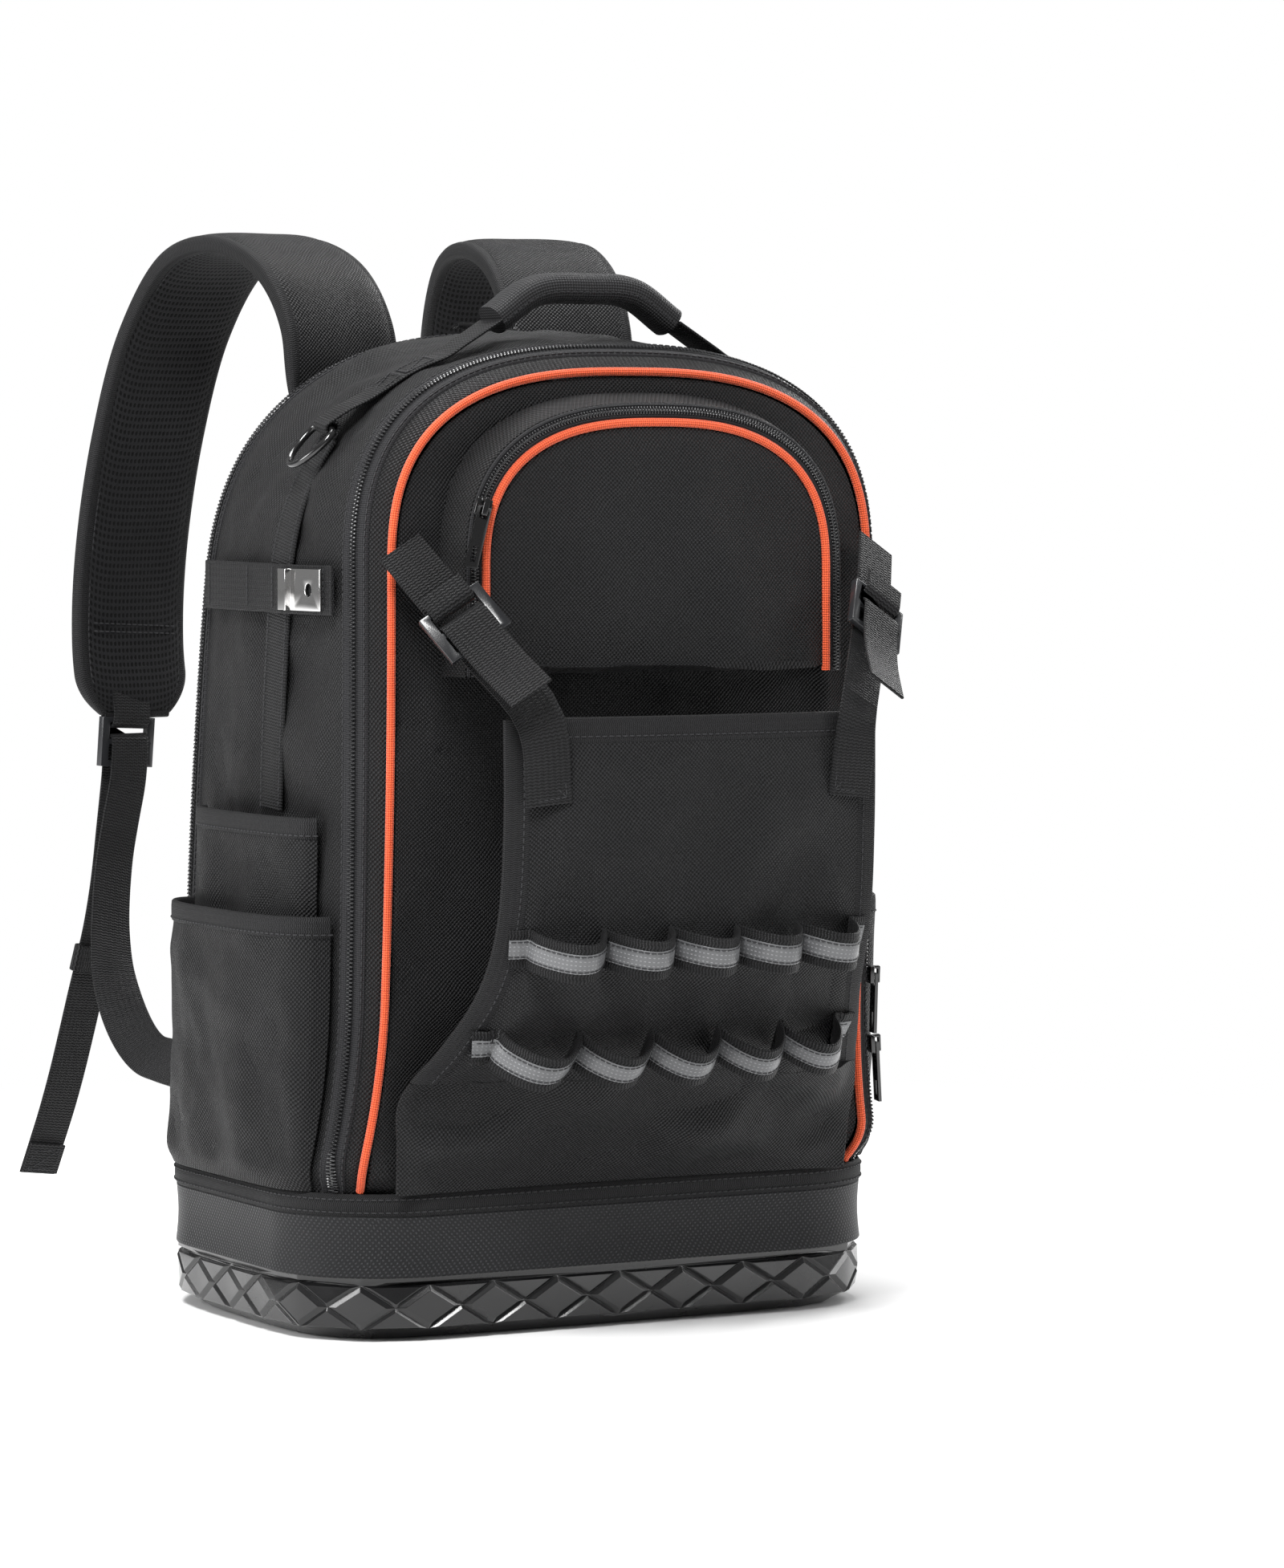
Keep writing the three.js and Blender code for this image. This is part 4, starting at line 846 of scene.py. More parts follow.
class Tree:
    """A short way to lay out the nodes of a material or a node group."""

    def __init__(self, tree: bpy.types.NodeTree) -> None:
        """Holds the tree."""
        self.tree = tree

    def node(self, kind: str, **settings: object) -> bpy.types.Node:
        """Adds a node, with its options set."""
        made = self.tree.nodes.new(kind)
        for key, value in settings.items():
            setattr(made, key, value)
        return made

    def put(self, value: object, socket: bpy.types.NodeSocket) -> None:
        """Links a socket to another, or sets its value."""
        if isinstance(value, bpy.types.NodeSocket):
            self.tree.links.new(value, socket)
        else:
            socket.default_value = value

    def maths(self, operation: str, *values: object, clamped: bool = False) -> bpy.types.NodeSocket:
        """The result of a maths node."""
        made = self.node("ShaderNodeMath", operation=operation, use_clamp=clamped)
        for value, socket in zip(values, made.inputs):
            self.put(value, socket)
        return made.outputs[0]

    def wave(self, value: object, period: object) -> bpy.types.NodeSocket:
        """A sine with a period."""
        turns = self.maths("DIVIDE", value, period)
        return self.maths("SINE", self.maths("MULTIPLY", turns, math.tau))

    def ramp(self, value: object, low: float, high: float) -> bpy.types.NodeSocket:
        """0 below low, 1 above high and smooth between them."""
        made = self.node("ShaderNodeMapRange", interpolation_type="SMOOTHSTEP", clamp=True)
        for item, socket in zip((value, low, high, 0.0, 1.0), made.inputs):
            self.put(item, socket)
        return made.outputs[0]

    def mix(self, share: object, a: object, b: object) -> bpy.types.NodeSocket:
        """A colour between a and b."""
        made = self.node("ShaderNodeMix", data_type="RGBA")
        sockets = [s for s in made.inputs if s.type == "RGBA"]
        self.put(share, made.inputs[0])
        self.put(a, sockets[0])
        self.put(b, sockets[1])
        return next(s for s in made.outputs if s.type == "RGBA")

    def noise(
        self, vector: object, scale: object, detail: float = 2, roughness: float = 0.5
    ) -> bpy.types.NodeSocket:
        """Fractal noise of a vector."""
        made = self.node("ShaderNodeTexNoise")
        self.put(vector, made.inputs["Vector"])
        self.put(scale, made.inputs["Scale"])
        made.inputs["Detail"].default_value = detail
        made.inputs["Roughness"].default_value = roughness
        return made.outputs["Fac"]

    def split(self, vector: object) -> tuple[bpy.types.NodeSocket, bpy.types.NodeSocket]:
        """The first two numbers of a vector."""
        made = self.node("ShaderNodeSeparateXYZ")
        self.put(vector, made.inputs[0])
        return made.outputs[0], made.outputs[1]


class Effects:
    """The node groups that several finishes share, each built once."""

    groups: dict[str, bpy.types.NodeTree] = {}

    @classmethod
    def group(
        cls, name: str, inputs: dict[str, float], outputs: Sequence[str]
    ) -> tuple[Tree, dict, dict]:
        """Starts a group with a Vector input and number sockets.

        Args:
            name: The group's name.
            inputs: The number inputs and their defaults.
            outputs: The number outputs.

        Returns:
            The group's tree, its input sockets and its output sockets, by name.
        """
        tree = bpy.data.node_groups.new(name, "ShaderNodeTree")
        tree.interface.new_socket("Vector", in_out="INPUT", socket_type="NodeSocketVector")
        for key, value in inputs.items():
            socket = tree.interface.new_socket(key, in_out="INPUT", socket_type="NodeSocketFloat")
            socket.default_value = value
        for key in outputs:
            tree.interface.new_socket(key, in_out="OUTPUT", socket_type="NodeSocketFloat")
        cls.groups[name] = tree
        into, out = tree.nodes.new("NodeGroupInput"), tree.nodes.new("NodeGroupOutput")
        return Tree(tree), {s.name: s for s in into.outputs}, {s.name: s for s in out.inputs}

    @classmethod
    def build(cls) -> None:
        """Builds every group."""
        for effect in (cls.weave, cls.ribs, cls.braid, cls.cells, cls.dots, cls.wear, cls.grain):
            effect()

    @classmethod
    def weave(cls) -> None:
        """Ballistic cloth: fat threads that pass over and under, row by row."""
        t, i, o = cls.group("weave", {"Pitch": 0.0024}, ["Height", "Shade"])
        bend = t.maths("MULTIPLY", t.maths("SUBTRACT", t.noise(i["Vector"], 34.0, 2), 0.5), 0.004)
        u, v = t.split(i["Vector"])
        u, v = t.maths("ADD", u, bend), t.maths("SUBTRACT", v, bend)
        cross = t.maths("MULTIPLY", t.wave(u, i["Pitch"]), t.wave(v, i["Pitch"]))
        bumps = t.ramp(cross, -0.75, 0.85)
        slub = t.noise(i["Vector"], 420.0, 3, 0.7)
        t.put(t.maths("MULTIPLY_ADD", slub, 0.25, bumps), o["Height"])
        # Shade is painted light: the thread crowns lighter as painted sheen, the dips darker as
        # painted shade, with the yarn's real slubs on top.
        uneven = t.maths("MULTIPLY_ADD", slub, 0.5, -0.25)
        t.put(t.maths("ADD", bumps, uneven, clamped=True), o["Shade"])

    @staticmethod
    def shade(t: Tree, threads: object, slub: object) -> bpy.types.NodeSocket:
        """How light threads look: painted sheen where they rise and painted shade where they sink,
        uneven with the yarn.
        """
        even = t.maths("MULTIPLY", threads, 0.85)
        return t.maths("MULTIPLY_ADD", slub, 0.3, even, clamped=True)

    @classmethod
    def ribs(cls) -> None:
        """Webbing: cross ribs with a thread step along the middle."""
        t, i, o = cls.group("ribs", {"Pitch": 0.0016}, ["Height", "Shade"])
        u, v = t.split(i["Vector"])
        step = t.maths("MULTIPLY", t.wave(u, 0.0031), 0.00022)
        rows = t.wave(t.maths("ADD", v, step), i["Pitch"])
        rib = t.ramp(rows, -0.95, 0.75)
        thread = t.maths("MULTIPLY", t.maths("ADD", t.wave(u, 0.0009), 1.0), 0.12)
        t.put(t.maths("ADD", rib, thread), o["Height"])
        # Shade paints the rib crests lighter as painted sheen and the grooves darker as painted
        # shade.
        t.put(cls.shade(t, rib, t.noise(i["Vector"], 300.0, 2)), o["Shade"])

    @classmethod
    def braid(cls) -> None:
        """Knitted tape and braided cord: two sets of slanting threads."""
        t, i, o = cls.group("braid", {"Pitch": 0.0016}, ["Height", "Shade"])
        u, v = t.split(i["Vector"])
        one = t.wave(t.maths("ADD", u, v), i["Pitch"])
        two = t.wave(t.maths("SUBTRACT", u, v), i["Pitch"])
        over = t.ramp(t.maths("MULTIPLY", one, two), -0.7, 0.8)
        t.put(over, o["Height"])
        # Shade paints the crossing threads lighter as painted sheen and the gaps darker as painted
        # shade.
        t.put(cls.shade(t, over, t.noise(i["Vector"], 600.0, 2)), o["Shade"])

    @classmethod
    def cells(cls) -> None:
        """Air mesh: staggered diamond holes between knitted bars."""
        t, i, o = cls.group("cells", {"Pitch": 0.0036}, ["Height", "Shade"])
        u, v = t.split(i["Vector"])
        waves = []
        for value, period in ((u, i["Pitch"]), (v, t.maths("MULTIPLY", i["Pitch"], 1.5))):
            turns = t.maths("MULTIPLY", t.maths("DIVIDE", value, period), math.pi)
            waves.append(t.maths("COSINE", turns))
        hole = t.ramp(t.maths("ABSOLUTE", t.maths("MULTIPLY", *waves)), 0.42, 0.66)
        bar = t.maths("SUBTRACT", 1.0, hole)
        thread = t.maths("MULTIPLY", t.wave(t.maths("ADD", u, v), 0.0007), 0.08)
        t.put(t.maths("ADD", bar, thread), o["Height"])
        # Shade paints the holes dark as painted shade and the bars lighter.
        t.put(bar, o["Shade"])

    @classmethod
    def dots(cls) -> None:
        """Coated cloth: small raised points in slanting rows."""
        t, i, o = cls.group("dots", {"Pitch": 0.0030}, ["Height", "Shade"])
        u, v = t.split(i["Vector"])
        cross = t.maths("MULTIPLY", t.wave(u, i["Pitch"]), t.wave(v, i["Pitch"]))
        point = t.ramp(cross, 0.1, 0.9)
        t.put(t.maths("MULTIPLY_ADD", t.noise(i["Vector"], 900.0, 2), 0.12, point), o["Height"])
        # Shade paints the raised points lighter as a painted highlight.
        t.put(point, o["Shade"])

    @classmethod
    def wear(cls) -> None:
        """Slow changes of tone, and lint that settles in specks."""
        t, i, o = cls.group("wear", {}, ["Tone", "Lint"])
        broad = t.noise(i["Vector"], 9.0, 3, 0.55)
        t.put(t.ramp(broad, 0.3, 0.7), o["Tone"])
        t.put(t.ramp(t.noise(i["Vector"], 700.0, 1, 0.4), 0.74, 0.82), o["Lint"])

    @classmethod
    def grain(cls) -> None:
        """Fine grain of moulded and painted surfaces."""
        t, i, o = cls.group("grain", {"Scale": 1400.0}, ["Height", "Smudge"])
        t.put(t.noise(i["Vector"], i["Scale"], 2, 0.6), o["Height"])
        t.put(t.ramp(t.noise(i["Vector"], 30.0, 4, 0.6), 0.35, 0.75), o["Smudge"])


Colour = tuple[float, float, float]


class Pattern(Enum):
    """The textures that a cloth or a coating can have, by their node group."""

    WEAVE = "weave"
    RIBS = "ribs"
    BRAID = "braid"
    CELLS = "cells"
    DOTS = "dots"


@dataclass(frozen=True)
class Finish:
    """What every finish has: a name, a material slot and a way to make its material."""

    name: str
    slot: Slot

    def material(self) -> bpy.types.Material:
        """The material, made the first time that it is asked for."""
        found = bpy.data.materials.get(self.name)
        if found:
            return found
        made = bpy.data.materials.new(self.name)
        made.use_nodes = True
        self.lay_out(Tree(made.node_tree), made.node_tree.nodes["Principled BSDF"])
        return made

    def lay_out(self, tree: Tree, shader: bpy.types.Node) -> None:
        """Lays out the material's nodes round its shader, which each finish does its own way."""
        where = f"{shader.name} in {tree.tree.name}"
        raise NotImplementedError(f"{self.name} has no layout for {where}")

    @staticmethod
    def effect(
        tree: Tree, name: str, vector: bpy.types.NodeSocket, **values: float
    ) -> bpy.types.Node:
        """Puts a shared effect into a material."""
        made = tree.node("ShaderNodeGroup")
        made.node_tree = Effects.groups[name]
        tree.put(vector, made.inputs["Vector"])
        for key, value in values.items():
            made.inputs[key].default_value = value
        return made

    @staticmethod
    def bump(tree: Tree, shader: bpy.types.Node, height: object, distance: float) -> None:
        """Gives the shader the normal of a height in metres."""
        made = tree.node("ShaderNodeBump")
        made.inputs["Strength"].default_value = 1.0
        made.inputs["Distance"].default_value = distance
        tree.put(height, made.inputs["Height"])
        tree.put(made.outputs[0], shader.inputs["Normal"])


@dataclass(frozen=True)
class ClothFinish(Finish):
    """Cloth, webbing, mesh, cord or coated cloth, whose threads follow the piece's UV map."""

    pattern: Pattern
    pitch: float
    dip_shade: Colour
    high: Colour
    roughness: float = 0.62
    sheen: float = 0.02
    relief: float = 0.0004
    specular: float = 0.2

    def lay_out(self, tree: Tree, shader: bpy.types.Node) -> None:
        """Threads in painted light: painted sheen on their crowns and painted shade in their dips,
        uneven with wear, with a soft sheen at a slant.
        """
        uv = tree.node("ShaderNodeUVMap", uv_map="weave").outputs[0]
        place = tree.node("ShaderNodeTexCoord").outputs["Object"]
        threads = self.effect(tree, self.pattern.value, uv, Pitch=self.pitch)
        wear = self.effect(tree, "wear", place)
        worn = tuple(c * 1.28 + 0.002 for c in self.high)
        high = tree.mix(wear.outputs["Tone"], (*self.high, 1), (*worn, 1))
        # Painted shade in the thread dips and painted sheen on the crowns.
        colour = tree.mix(threads.outputs["Shade"], (*self.dip_shade, 1), high)
        lint = tuple(min(1, c * 1.8 + 0.02) for c in self.high)
        speck = tree.maths("MULTIPLY", wear.outputs["Lint"], 0.35)
        tree.put(tree.mix(speck, colour, (*lint, 1)), shader.inputs["Base Color"])
        rough = tree.maths("MULTIPLY_ADD", threads.outputs["Shade"], -0.16, self.roughness + 0.1)
        tree.put(rough, shader.inputs["Roughness"])
        shader.inputs["Specular IOR Level"].default_value = self.specular
        shader.inputs["Sheen Weight"].default_value = self.sheen
        shader.inputs["Sheen Roughness"].default_value = 0.45
        self.bump(tree, shader, threads.outputs["Height"], self.relief)


@dataclass(frozen=True)
class MouldedFinish(Finish):
    """Rubber, plastic and painted or plated metal."""

    colour: Colour
    roughness: float
    metallic: float = 0.0
    coat: float = 0.0
    grain: float = 0.00003
    grain_scale: float = 1400.0

    def lay_out(self, tree: Tree, shader: bpy.types.Node) -> None:
        """One colour that handling has smudged, over a fine grain."""
        place = tree.node("ShaderNodeTexCoord").outputs["Object"]
        grain = self.effect(tree, "grain", place, Scale=self.grain_scale)
        wear = self.effect(tree, "wear", place)
        worn = tuple(c * 1.35 + 0.004 for c in self.colour)
        colour = tree.mix(wear.outputs["Tone"], (*self.colour, 1), (*worn, 1))
        tree.put(colour, shader.inputs["Base Color"])
        smudge = tree.maths("MULTIPLY_ADD", grain.outputs["Smudge"], 0.12, self.roughness - 0.04)
        tree.put(smudge, shader.inputs["Roughness"])
        shader.inputs["Metallic"].default_value = self.metallic
        shader.inputs["Coat Weight"].default_value = self.coat
        shader.inputs["Coat Roughness"].default_value = 0.12
        self.bump(tree, shader, grain.outputs["Height"], self.grain)


@dataclass(frozen=True)
class ReflectiveFinish(Finish):
    """A grey reflective stripe with dotted lines of glass beads pressed along it."""

    colour: Colour = (0.115, 0.117, 0.121)

    def lay_out(self, tree: Tree, shader: bpy.types.Node) -> None:
        """A satin grey film with rows of short dashes, painted lighter as the glass beads' glint.
        """
        uv = tree.node("ShaderNodeUVMap", uv_map="weave").outputs[0]
        place = tree.node("ShaderNodeTexCoord").outputs["Object"]
        wear = self.effect(tree, "wear", place)
        u, v = tree.split(uv)
        dash = tree.ramp(tree.wave(v, 0.0022), -0.2, 0.4)
        row = tree.ramp(tree.wave(u, 0.0021), 0.55, 0.9)
        mark = tree.maths("MULTIPLY", dash, row)
        worn = tuple(c * 0.8 for c in self.colour)
        base = tree.mix(wear.outputs["Tone"], (*self.colour, 1), (*worn, 1))
        # Painted glint: the raised bead dashes are painted lighter than the film.
        light = tuple(c * 1.9 for c in self.colour)
        tree.put(tree.mix(mark, base, (*light, 1)), shader.inputs["Base Color"])
        tree.put(tree.maths("MULTIPLY_ADD", mark, 0.15, 0.36), shader.inputs["Roughness"])
        self.bump(tree, shader, mark, 0.00012)


BODY_CLOTH = ClothFinish(
    "body_cloth", Slot.PACK_CLOTH, Pattern.WEAVE, 0.0024,
    (0.0008, 0.0008, 0.0009), (0.017, 0.017, 0.0182), roughness=0.5, relief=0.001,
)
FACE_CLOTH = ClothFinish(
    "face_cloth", Slot.PACK_CLOTH, Pattern.WEAVE, 0.0022,
    (0.0008, 0.0008, 0.0009), (0.021, 0.021, 0.0225), roughness=0.45, relief=0.001,
)
COATED_BAND = ClothFinish(
    "coated_band", Slot.PACK_CLOTH, Pattern.DOTS, 0.0030,
    (0.011, 0.0112, 0.012), (0.034, 0.0345, 0.037), roughness=0.4,
)
STRAP_WEB = ClothFinish(
    "strap_web", Slot.WEBBING, Pattern.RIBS, 0.0016,
    (0.0006, 0.0006, 0.0007), (0.012, 0.012, 0.013), roughness=0.5, relief=0.0008,
)
BINDING_WEB = ClothFinish(
    "binding_web", Slot.WEBBING, Pattern.RIBS, 0.0011,
    (0.002, 0.002, 0.0022), (0.014, 0.014, 0.015),
)
GRIP_TWILL = ClothFinish(
    "grip_twill", Slot.PACK_CLOTH, Pattern.BRAID, 0.0030,
    (0.002, 0.002, 0.0022), (0.022, 0.022, 0.0235), roughness=0.55,
)
AIR_MESH = ClothFinish(
    "air_mesh", Slot.MESH, Pattern.CELLS, 0.0026,
    (0.0008, 0.0008, 0.001), (0.0095, 0.0095, 0.0105), roughness=0.8, relief=0.0007,
)
ZIP_TAPE_KNIT = ClothFinish(
    "zip_tape_knit", Slot.ZIP, Pattern.BRAID, 0.0022,
    (0.004, 0.004, 0.0045), (0.022, 0.022, 0.024), roughness=0.72, relief=0.0002,
)
CORAL_BRAID = ClothFinish(
    "coral_braid", Slot.PIPING, Pattern.BRAID, 0.0024,
    (0.36, 0.034, 0.011), (0.83, 0.125, 0.04), roughness=0.6, sheen=0.2, relief=0.00035,
)
THREAD = ClothFinish(
    "thread", Slot.WEBBING, Pattern.BRAID, 0.0008,
    (0.012, 0.012, 0.013), (0.045, 0.045, 0.048), roughness=0.5, relief=0.0001,
)
COIL = MouldedFinish("zip_coil", Slot.ZIP, (0.012, 0.012, 0.013), 0.24, coat=0.35)
TRAY_RUBBER = MouldedFinish(
    "tray_rubber", Slot.RUBBER, (0.005, 0.005, 0.0054), 0.24, coat=0.3, grain=0.00004
)
BUCKLE_PLASTIC = MouldedFinish(
    "buckle_plastic", Slot.PLASTIC, (0.013, 0.0135, 0.015), 0.3, coat=0.15, grain=0.00005
)
BLACK_PAINT = MouldedFinish(
    "black_paint", Slot.BLACK_METAL, (0.012, 0.012, 0.0125), 0.16, metallic=0.55, coat=0.8
)
POLISHED = MouldedFinish(
    "polished_steel", Slot.STEEL, (0.58, 0.575, 0.57), 0.1, metallic=1.0, grain=0.000008
)
REFLECTIVE = ReflectiveFinish("reflective_stripe", Slot.WEBBING)

MOULD_EDGE = 0.0011
SLIDER_EDGE = 0.0006
PULL_EDGE = 0.00035
PLATE_EDGE = 0.0003
SAME_POINT = 0.00001
FLAT_TURN = math.radians(2)
SHARP_TURN = math.radians(28)
SMOOTH_TURN = math.radians(40)


class Workshop:
    """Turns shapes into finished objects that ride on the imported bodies."""

    made: list[str] = []

    @classmethod
    def finish(
        cls,
        obj: bpy.types.Object,
        finish: Finish,
        replaces: Sequence[str] = (),
        body: str = BAG,
        padding: float | None = None,
    ) -> bpy.types.Object:
        """Dresses an object, ties it to its body and hides the nodes it stands for."""
        obj.data.materials.clear()
        obj.data.materials.append(finish.material())
        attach(obj, body)
        if replaces:
            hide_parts(*replaces)
        cls.made.append(obj.name)
        LOG.info("%s: %d faces", obj.name, len(obj.data.polygons))
        return obj

    @classmethod
    def cloth(
        cls,
        name: str,
        surface: Surface,
        finish: Finish,
        replaces: Sequence[str] = (),
        padding: float | None = None,
    ) -> bpy.types.Object:
        """Makes a soft piece from faces in millimetres."""
        obj = bpy.data.objects.new(name, surface.mesh(name))
        bpy.context.scene.collection.objects.link(obj)
        return cls.finish(obj, finish, replaces, padding=padding)

    @classmethod
    def pair(
        cls,
        name: str,
        left: Surface,
        finish: Finish,
        replaces: str | None = None,
        padding: float | None = None,
    ) -> None:
        """Makes a soft piece that is drawn on the left, and its twin on the right."""
        for side in Side:
            shape = left if side is Side.LEFT else left.mirrored()
            nodes = [f"{replaces}_{side.value}"] if replaces else []
            cls.cloth(f"{name}_{side.value}", shape, finish, nodes, padding)

    @classmethod
    def hard(
        cls,
        node: str,
        finish: Finish,
        bevel: float,
        body: str = BAG,
        rounding: int = 0,
    ) -> bpy.types.Object:
        """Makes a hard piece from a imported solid, its edges broken as a mould or die leaves them.

        Args:
            node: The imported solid.
            finish: Its finish.
            bevel: The edges' width in metres, or 0 for none.
            body: The body it moves with.
            rounding: Levels of subdivision that turn its facets into curves.

        Returns:
            The piece.
        """
        obj = frame["nodes"][node].copy()
        obj.data = frame["nodes"][node].data.copy()
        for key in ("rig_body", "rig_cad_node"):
            del obj[key]
        obj.name = obj.data.name = node + "_finished"
        obj.parent = None
        bpy.context.scene.collection.objects.link(obj)
        bpy.ops.object.select_all(action="DESELECT")
        bpy.context.view_layer.objects.active = obj
        obj.select_set(True)
        bpy.ops.object.mode_set(mode="EDIT")
        bpy.ops.mesh.select_all(action="SELECT")
        bpy.ops.mesh.remove_doubles(threshold=SAME_POINT)
        bpy.ops.mesh.dissolve_limited(angle_limit=FLAT_TURN)
        bpy.ops.mesh.normals_make_consistent(inside=False)
        bpy.ops.object.mode_set(mode="OBJECT")
        if bevel:
            edges = obj.modifiers.new("broken_edges", "BEVEL")
            edges.width = bevel
            edges.segments = 3
            edges.limit_method = "ANGLE"
            edges.angle_limit = SHARP_TURN
            edges.harden_normals = False
            bpy.ops.object.modifier_apply(modifier=edges.name)
        if rounding:
            curves = obj.modifiers.new("curves", "SUBSURF")
            curves.levels = curves.render_levels = rounding
            bpy.ops.object.modifier_apply(modifier=curves.name)
        bpy.ops.object.shade_smooth_by_angle(angle=SMOOTH_TURN)
        return cls.finish(obj, finish, [node], body)


FORWARD_AND_BACK = Vector((0, 1, 0))
UPWARDS = Vector((0, 0, 1))


def piping(node: str, line: Line) -> None:
    """Makes a braided cord along a line, for a packed piping."""
    tube = sweep(line, FORWARD_AND_BACK, oval(2 * PIPING_RADIUS, 2 * PIPING_RADIUS, 14))
    Workshop.cloth(f"{node}_cord", tube, CORAL_BRAID, [node])


def sew(
    name: str,
    rows: Sequence[tuple[Grid, Grid]],
    paired: bool = False,
    pitch: float = STITCH_PITCH,
) -> None:
    """Makes one piece of the stitches along rows.

    Args:
        name: The piece's name.
        rows: Seams, each a line and the cloth's outward directions along it.
        paired: Whether the seams are drawn on the left and have a twin on the right.
        pitch: From one stitch to the next.
    """
    seams = Surface()
    for line, normals in rows:
        seams.join(stitches(line, normals, pitch))
    (Workshop.pair if paired else Workshop.cloth)(name, seams, THREAD)


@dataclass
class RubberBase:
    """The moulded tray, the coated band over it and the webbing that binds the band's top."""

    points: int = 260
    band_wall: float = 2.4
    band_bulge: float = 1.0
    band_draft: float = 0.4
    fold_inset: float = 0.9
    fold_bulge: float = 1.5
    fold_fullness: float = 0.4
    seam_inset: float = 2.6
    seam_lift: float = 0.62

    def rings(self, levels: Sequence[tuple[float, float]]) -> Grid:
        """Rings round the base at pairs of inset and height."""
        outlines = [(SHAPE.base_ring(inset, self.points), z) for inset, z in levels]
        return np.stack([array([p for p, _ in ring]) + (0, 0, z) for ring, z in outlines])

    def build(self) -> None:
        """Makes the base's pieces."""
        Workshop.hard("base_tray", TRAY_RUBBER, MOULD_EDGE, rounding=1)
        foot, top = SHAPE.tray_height + CLEARANCE, SHAPE.tray_height + SHAPE.band_height
        bands = [
            (math.sin(t * math.pi) * self.band_bulge + self.band_draft * t, lerp(foot, top, t))
            for t in steps(12)
        ]
        band = sheet(self.rings(bands), self.band_wall, closed=True)
        Workshop.cloth("base_band_cloth", band, COATED_BAND, ["base_band"])
        foot, top = top + CLEARANCE, SHAPE.base_top
        folds = []
        for t in steps(10):
            bulge = self.fold_bulge * math.sin(t * math.pi) ** self.fold_fullness
            folds.append((self.fold_inset - bulge, lerp(foot, top, t)))
        rows = self.rings(folds)
        uv = arc_uv(np.concatenate([rows, rows[:, :1]], axis=1))[..., ::-1]
        hem = sheet(rows, WEBBING, closed=True, uv=uv)
        Workshop.cloth("base_binding_web", hem, BINDING_WEB, ["base_binding"])
        outline = SHAPE.base_ring(-self.seam_lift, self.points * 2)
        line, normals = array([p for p, _ in outline]), array([out for _, out in outline])
        heights = (foot + self.seam_inset, top - self.seam_inset)
        sew("base_seams", [(line + (0, 0, z), normals) for z in heights])


@dataclass(frozen=True)
class CoilZip:
    """A closed coil zip: a tape with a welt at either side, and teeth along its middle."""

    pitch: float = 2.0
    reach: float = 3.0
    radius: float = 0.62
    height: float = 0.9
    overlap: float = 0.3
    tape: float = 1.4
    welt: Ridge = Ridge(0.74, 0.2, 0.8)
    groove: Ridge = Ridge(0, 0.3, -0.35)

    def teeth(self, middle: Grid, side: Grid, normals: Grid) -> Surface:
        """Teeth along the middle of a tape.

        Args:
            middle: Points along the tape's middle.
            side: Directions across the tape.
            normals: Directions away from the bag.

        Returns:
            The teeth, which reach from the middle to either side by turns.
        """
        run = lengths_along(middle, 0)
        out = Surface()
        for hand in (-1, 1):
            places = np.arange(self.pitch * (0.5 + hand / 4), run[-1], self.pitch)
            at, across, up = (
                np.stack([np.interp(places, run, rows[:, k]) for k in range(3)], axis=-1)
                for rows in (middle, side, normals)
            )
            across = unit(across) * hand
            centre = at + across * (self.reach / 2 - self.overlap) + unit(up) * self.height
            tooth = capsule(self.reach + 2 * self.overlap, self.radius)
            out.join(copies(tooth, centre, across, up))
        return out

    def build(self, node: str, rows: Grid) -> None:
        """Makes the tape and the teeth over a grid of points, for a packed zip."""
        t = np.linspace(-1, 1, rows.shape[1])
        relief = np.broadcast_to(self.welt.over(np.abs(t)) + self.groove.over(t), rows.shape[:2])
        Workshop.cloth(f"{node}_tape", sheet(rows, self.tape, relief), ZIP_TAPE_KNIT, [node])
        middle = rows.shape[1] // 2
        side = rows[:, middle + 1] - rows[:, middle - 1]
        teeth = self.teeth(rows[:, middle], side, grid_normals(rows)[:, middle])
        Workshop.cloth(f"{node}_teeth", teeth, COIL, [node])


